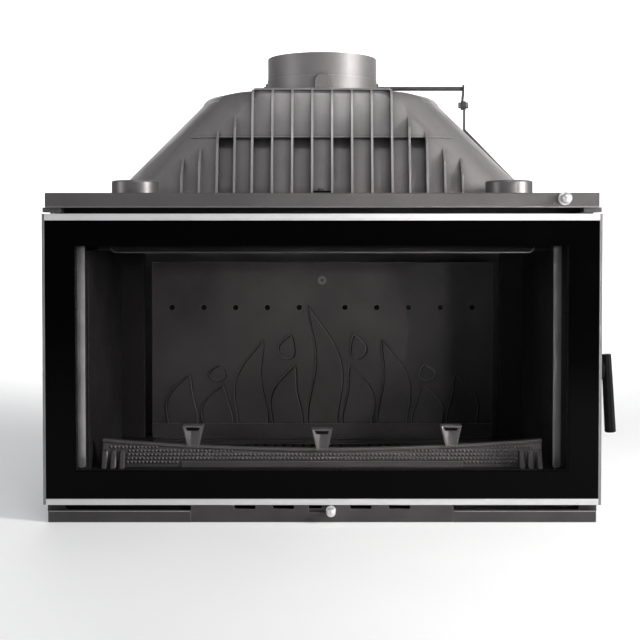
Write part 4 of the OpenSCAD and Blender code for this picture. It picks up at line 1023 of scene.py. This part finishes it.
def makeFlameBeads(name, f, radius, shift, finish):
    strand = bpy.data.curves.new(name, "CURVE")
    strand.dimensions = "3D"
    strand.bevel_depth, strand.bevel_resolution = radius, 1
    strand.use_fill_caps = True
    aside, back, up = shift
    for x, z, line in flameLines(f):
        spline = strand.splines.new("POLY")
        spline.points.add(len(line) - 1)
        for point, (a, b) in zip(spline.points, line):
            point.co = (x + a + aside, f["face"] + back, f["foot"] + z + b + up, 1)
    take(link(name, strand))
    bpy.ops.object.convert(target="MESH")
    bead = bpy.context.object
    bpy.ops.object.shade_smooth()
    settle(bead, name, "body", finish)


# lighter rims paint the relief's highlight, the near-black beads beside them its shadow
makeFlameBeads("flameRims", flameRims, flameRims["rim"], (0, 0, 0), "guardCasting")
makeFlameBeads("flameShadow", flameRims, flameRims["shade"], flameRims["beside"], "nearBlackShade")

# Near-black discs in the fireback's air holes: painted shade, so that the holes read deep
holeShadow = {"x": (0.045, 0.1075, 0.170, 0.2325, 0.295), "y": 0.1264, "z": 0.33325,
            "around": 28, "radius": 0.0056, "depth": 0.0012, "dish": 0.0008, "brim": 0.3}


def makeHoleShadow(h):
    made = []
    places = [side * x for side in (-1, 1) for x in h["x"]]
    for x in places:
        deselect()
        bpy.ops.mesh.primitive_cylinder_add(vertices=h["around"], radius=h["radius"],
                                            depth=h["depth"], location=(x, h["y"], h["z"]),
                                            rotation=(math.radians(90), 0, 0))
        disc = bpy.context.object
        bpy.ops.object.transform_apply(location=True, rotation=True, scale=True)
        pick(disc, "FACE", lambda face: face.normal.y < -facing)
        bpy.ops.mesh.inset(thickness=h["radius"] * h["brim"], depth=-h["dish"])
        bpy.ops.object.mode_set(mode="OBJECT")
        made.append(disc)
    shadow = join(made)
    shade(shadow)
    settle(shadow, "holeShadow", "body", "nearBlackShade")


makeHoleShadow(holeShadow)

# Thin beads along the rail's lower edge and the base rails' upper edges; their lighter grey
# is a painted highlight along those edges
railBeads = {
    "y": (-0.2456, -0.2440), "edge": 0.0004, "steps": 3, "smooth": 40,
    "runs": {"railBead": ((-0.4545, 0.4600), (0.5200, 0.5213)),
             "baseBeadLeft": ((-0.4520, -0.2190), (0.0174, 0.0188)),
             "baseBeadRight": ((0.2190, 0.4520), (0.0174, 0.0188))},
}


def makeRailBead(name, r, x, z):
    bead = addBox(x, r["y"], z)
    ease(bead, r["edge"], r["steps"])
    shade(bead, r["smooth"])
    settle(bead, name, "body", "greyCasting")


for name, (x, z) in railBeads["runs"].items():
    makeRailBead(name, railBeads, x, z)
print("flame rims, hole soot and rail beads made")

# A near-black wedge under the brow of each cup, the brow's painted shadow: place along X, height
# of the cup's top
cupShadow = {"cups": ((-0.22, 0.150), (0.0, 0.144), (0.22, 0.150)), "x": (-0.0128, 0.0120),
           "y": (-0.1832, -0.1808), "below": (0.0084, 0.0029), "taper": 0.80,
           "edge": 0.0003, "steps": 2}


def makeCupShadow(c):
    made = []
    for x, top in c["cups"]:
        z = [top - below for below in c["below"]]
        shadow = addBox([x + end for end in c["x"]], c["y"], z)
        # narrower below and behind, as the recess is
        for v in shadow.data.vertices:
            share = c["taper"] if v.co.z < sum(z) / 2 else 1
            share *= c["taper"] if v.co.y > sum(c["y"]) / 2 else 1
            v.co.x = x + (v.co.x - x) * share
        ease(shadow, c["edge"], c["steps"])
        made.append(shadow)
    joined = join(made)
    shade(joined)
    settle(joined, "cupShadow", "body", "nearBlackShade")


makeCupShadow(cupShadow)
print("soot in the cups made")

# A pale floor that rises into a backdrop far behind; metres
floorSetup = {"size": 18.0, "wide": 3.4, "middle": -4.4, "drop": 0.0005,
              "rise": (0, 0.4, 4.5), "bend": 1.2, "bendSteps": 12}


def makeFloor(setup):
    bpy.ops.mesh.primitive_plane_add(size=setup["size"],
                                     location=(0, setup["middle"], -setup["drop"]))
    floor = bpy.context.object
    floor.name = "paleFloor"
    floor.scale.x = setup["wide"]
    bpy.ops.object.transform_apply(location=True, rotation=True, scale=True)

    def rear(edge):
        return min(v.y for v in ends(floor, edge)) > setup["middle"] + setup["size"] / 4

    pick(floor, "EDGE", rear)
    bpy.ops.mesh.extrude_region_move(TRANSFORM_OT_translate={"value": setup["rise"]})
    bpy.ops.object.mode_set(mode="OBJECT")
    ease(floor, setup["bend"], setup["bendSteps"])
    bpy.ops.object.shade_smooth()
    paint(floor, "paleFloor")
    deselect()


makeFloor(floorSetup)
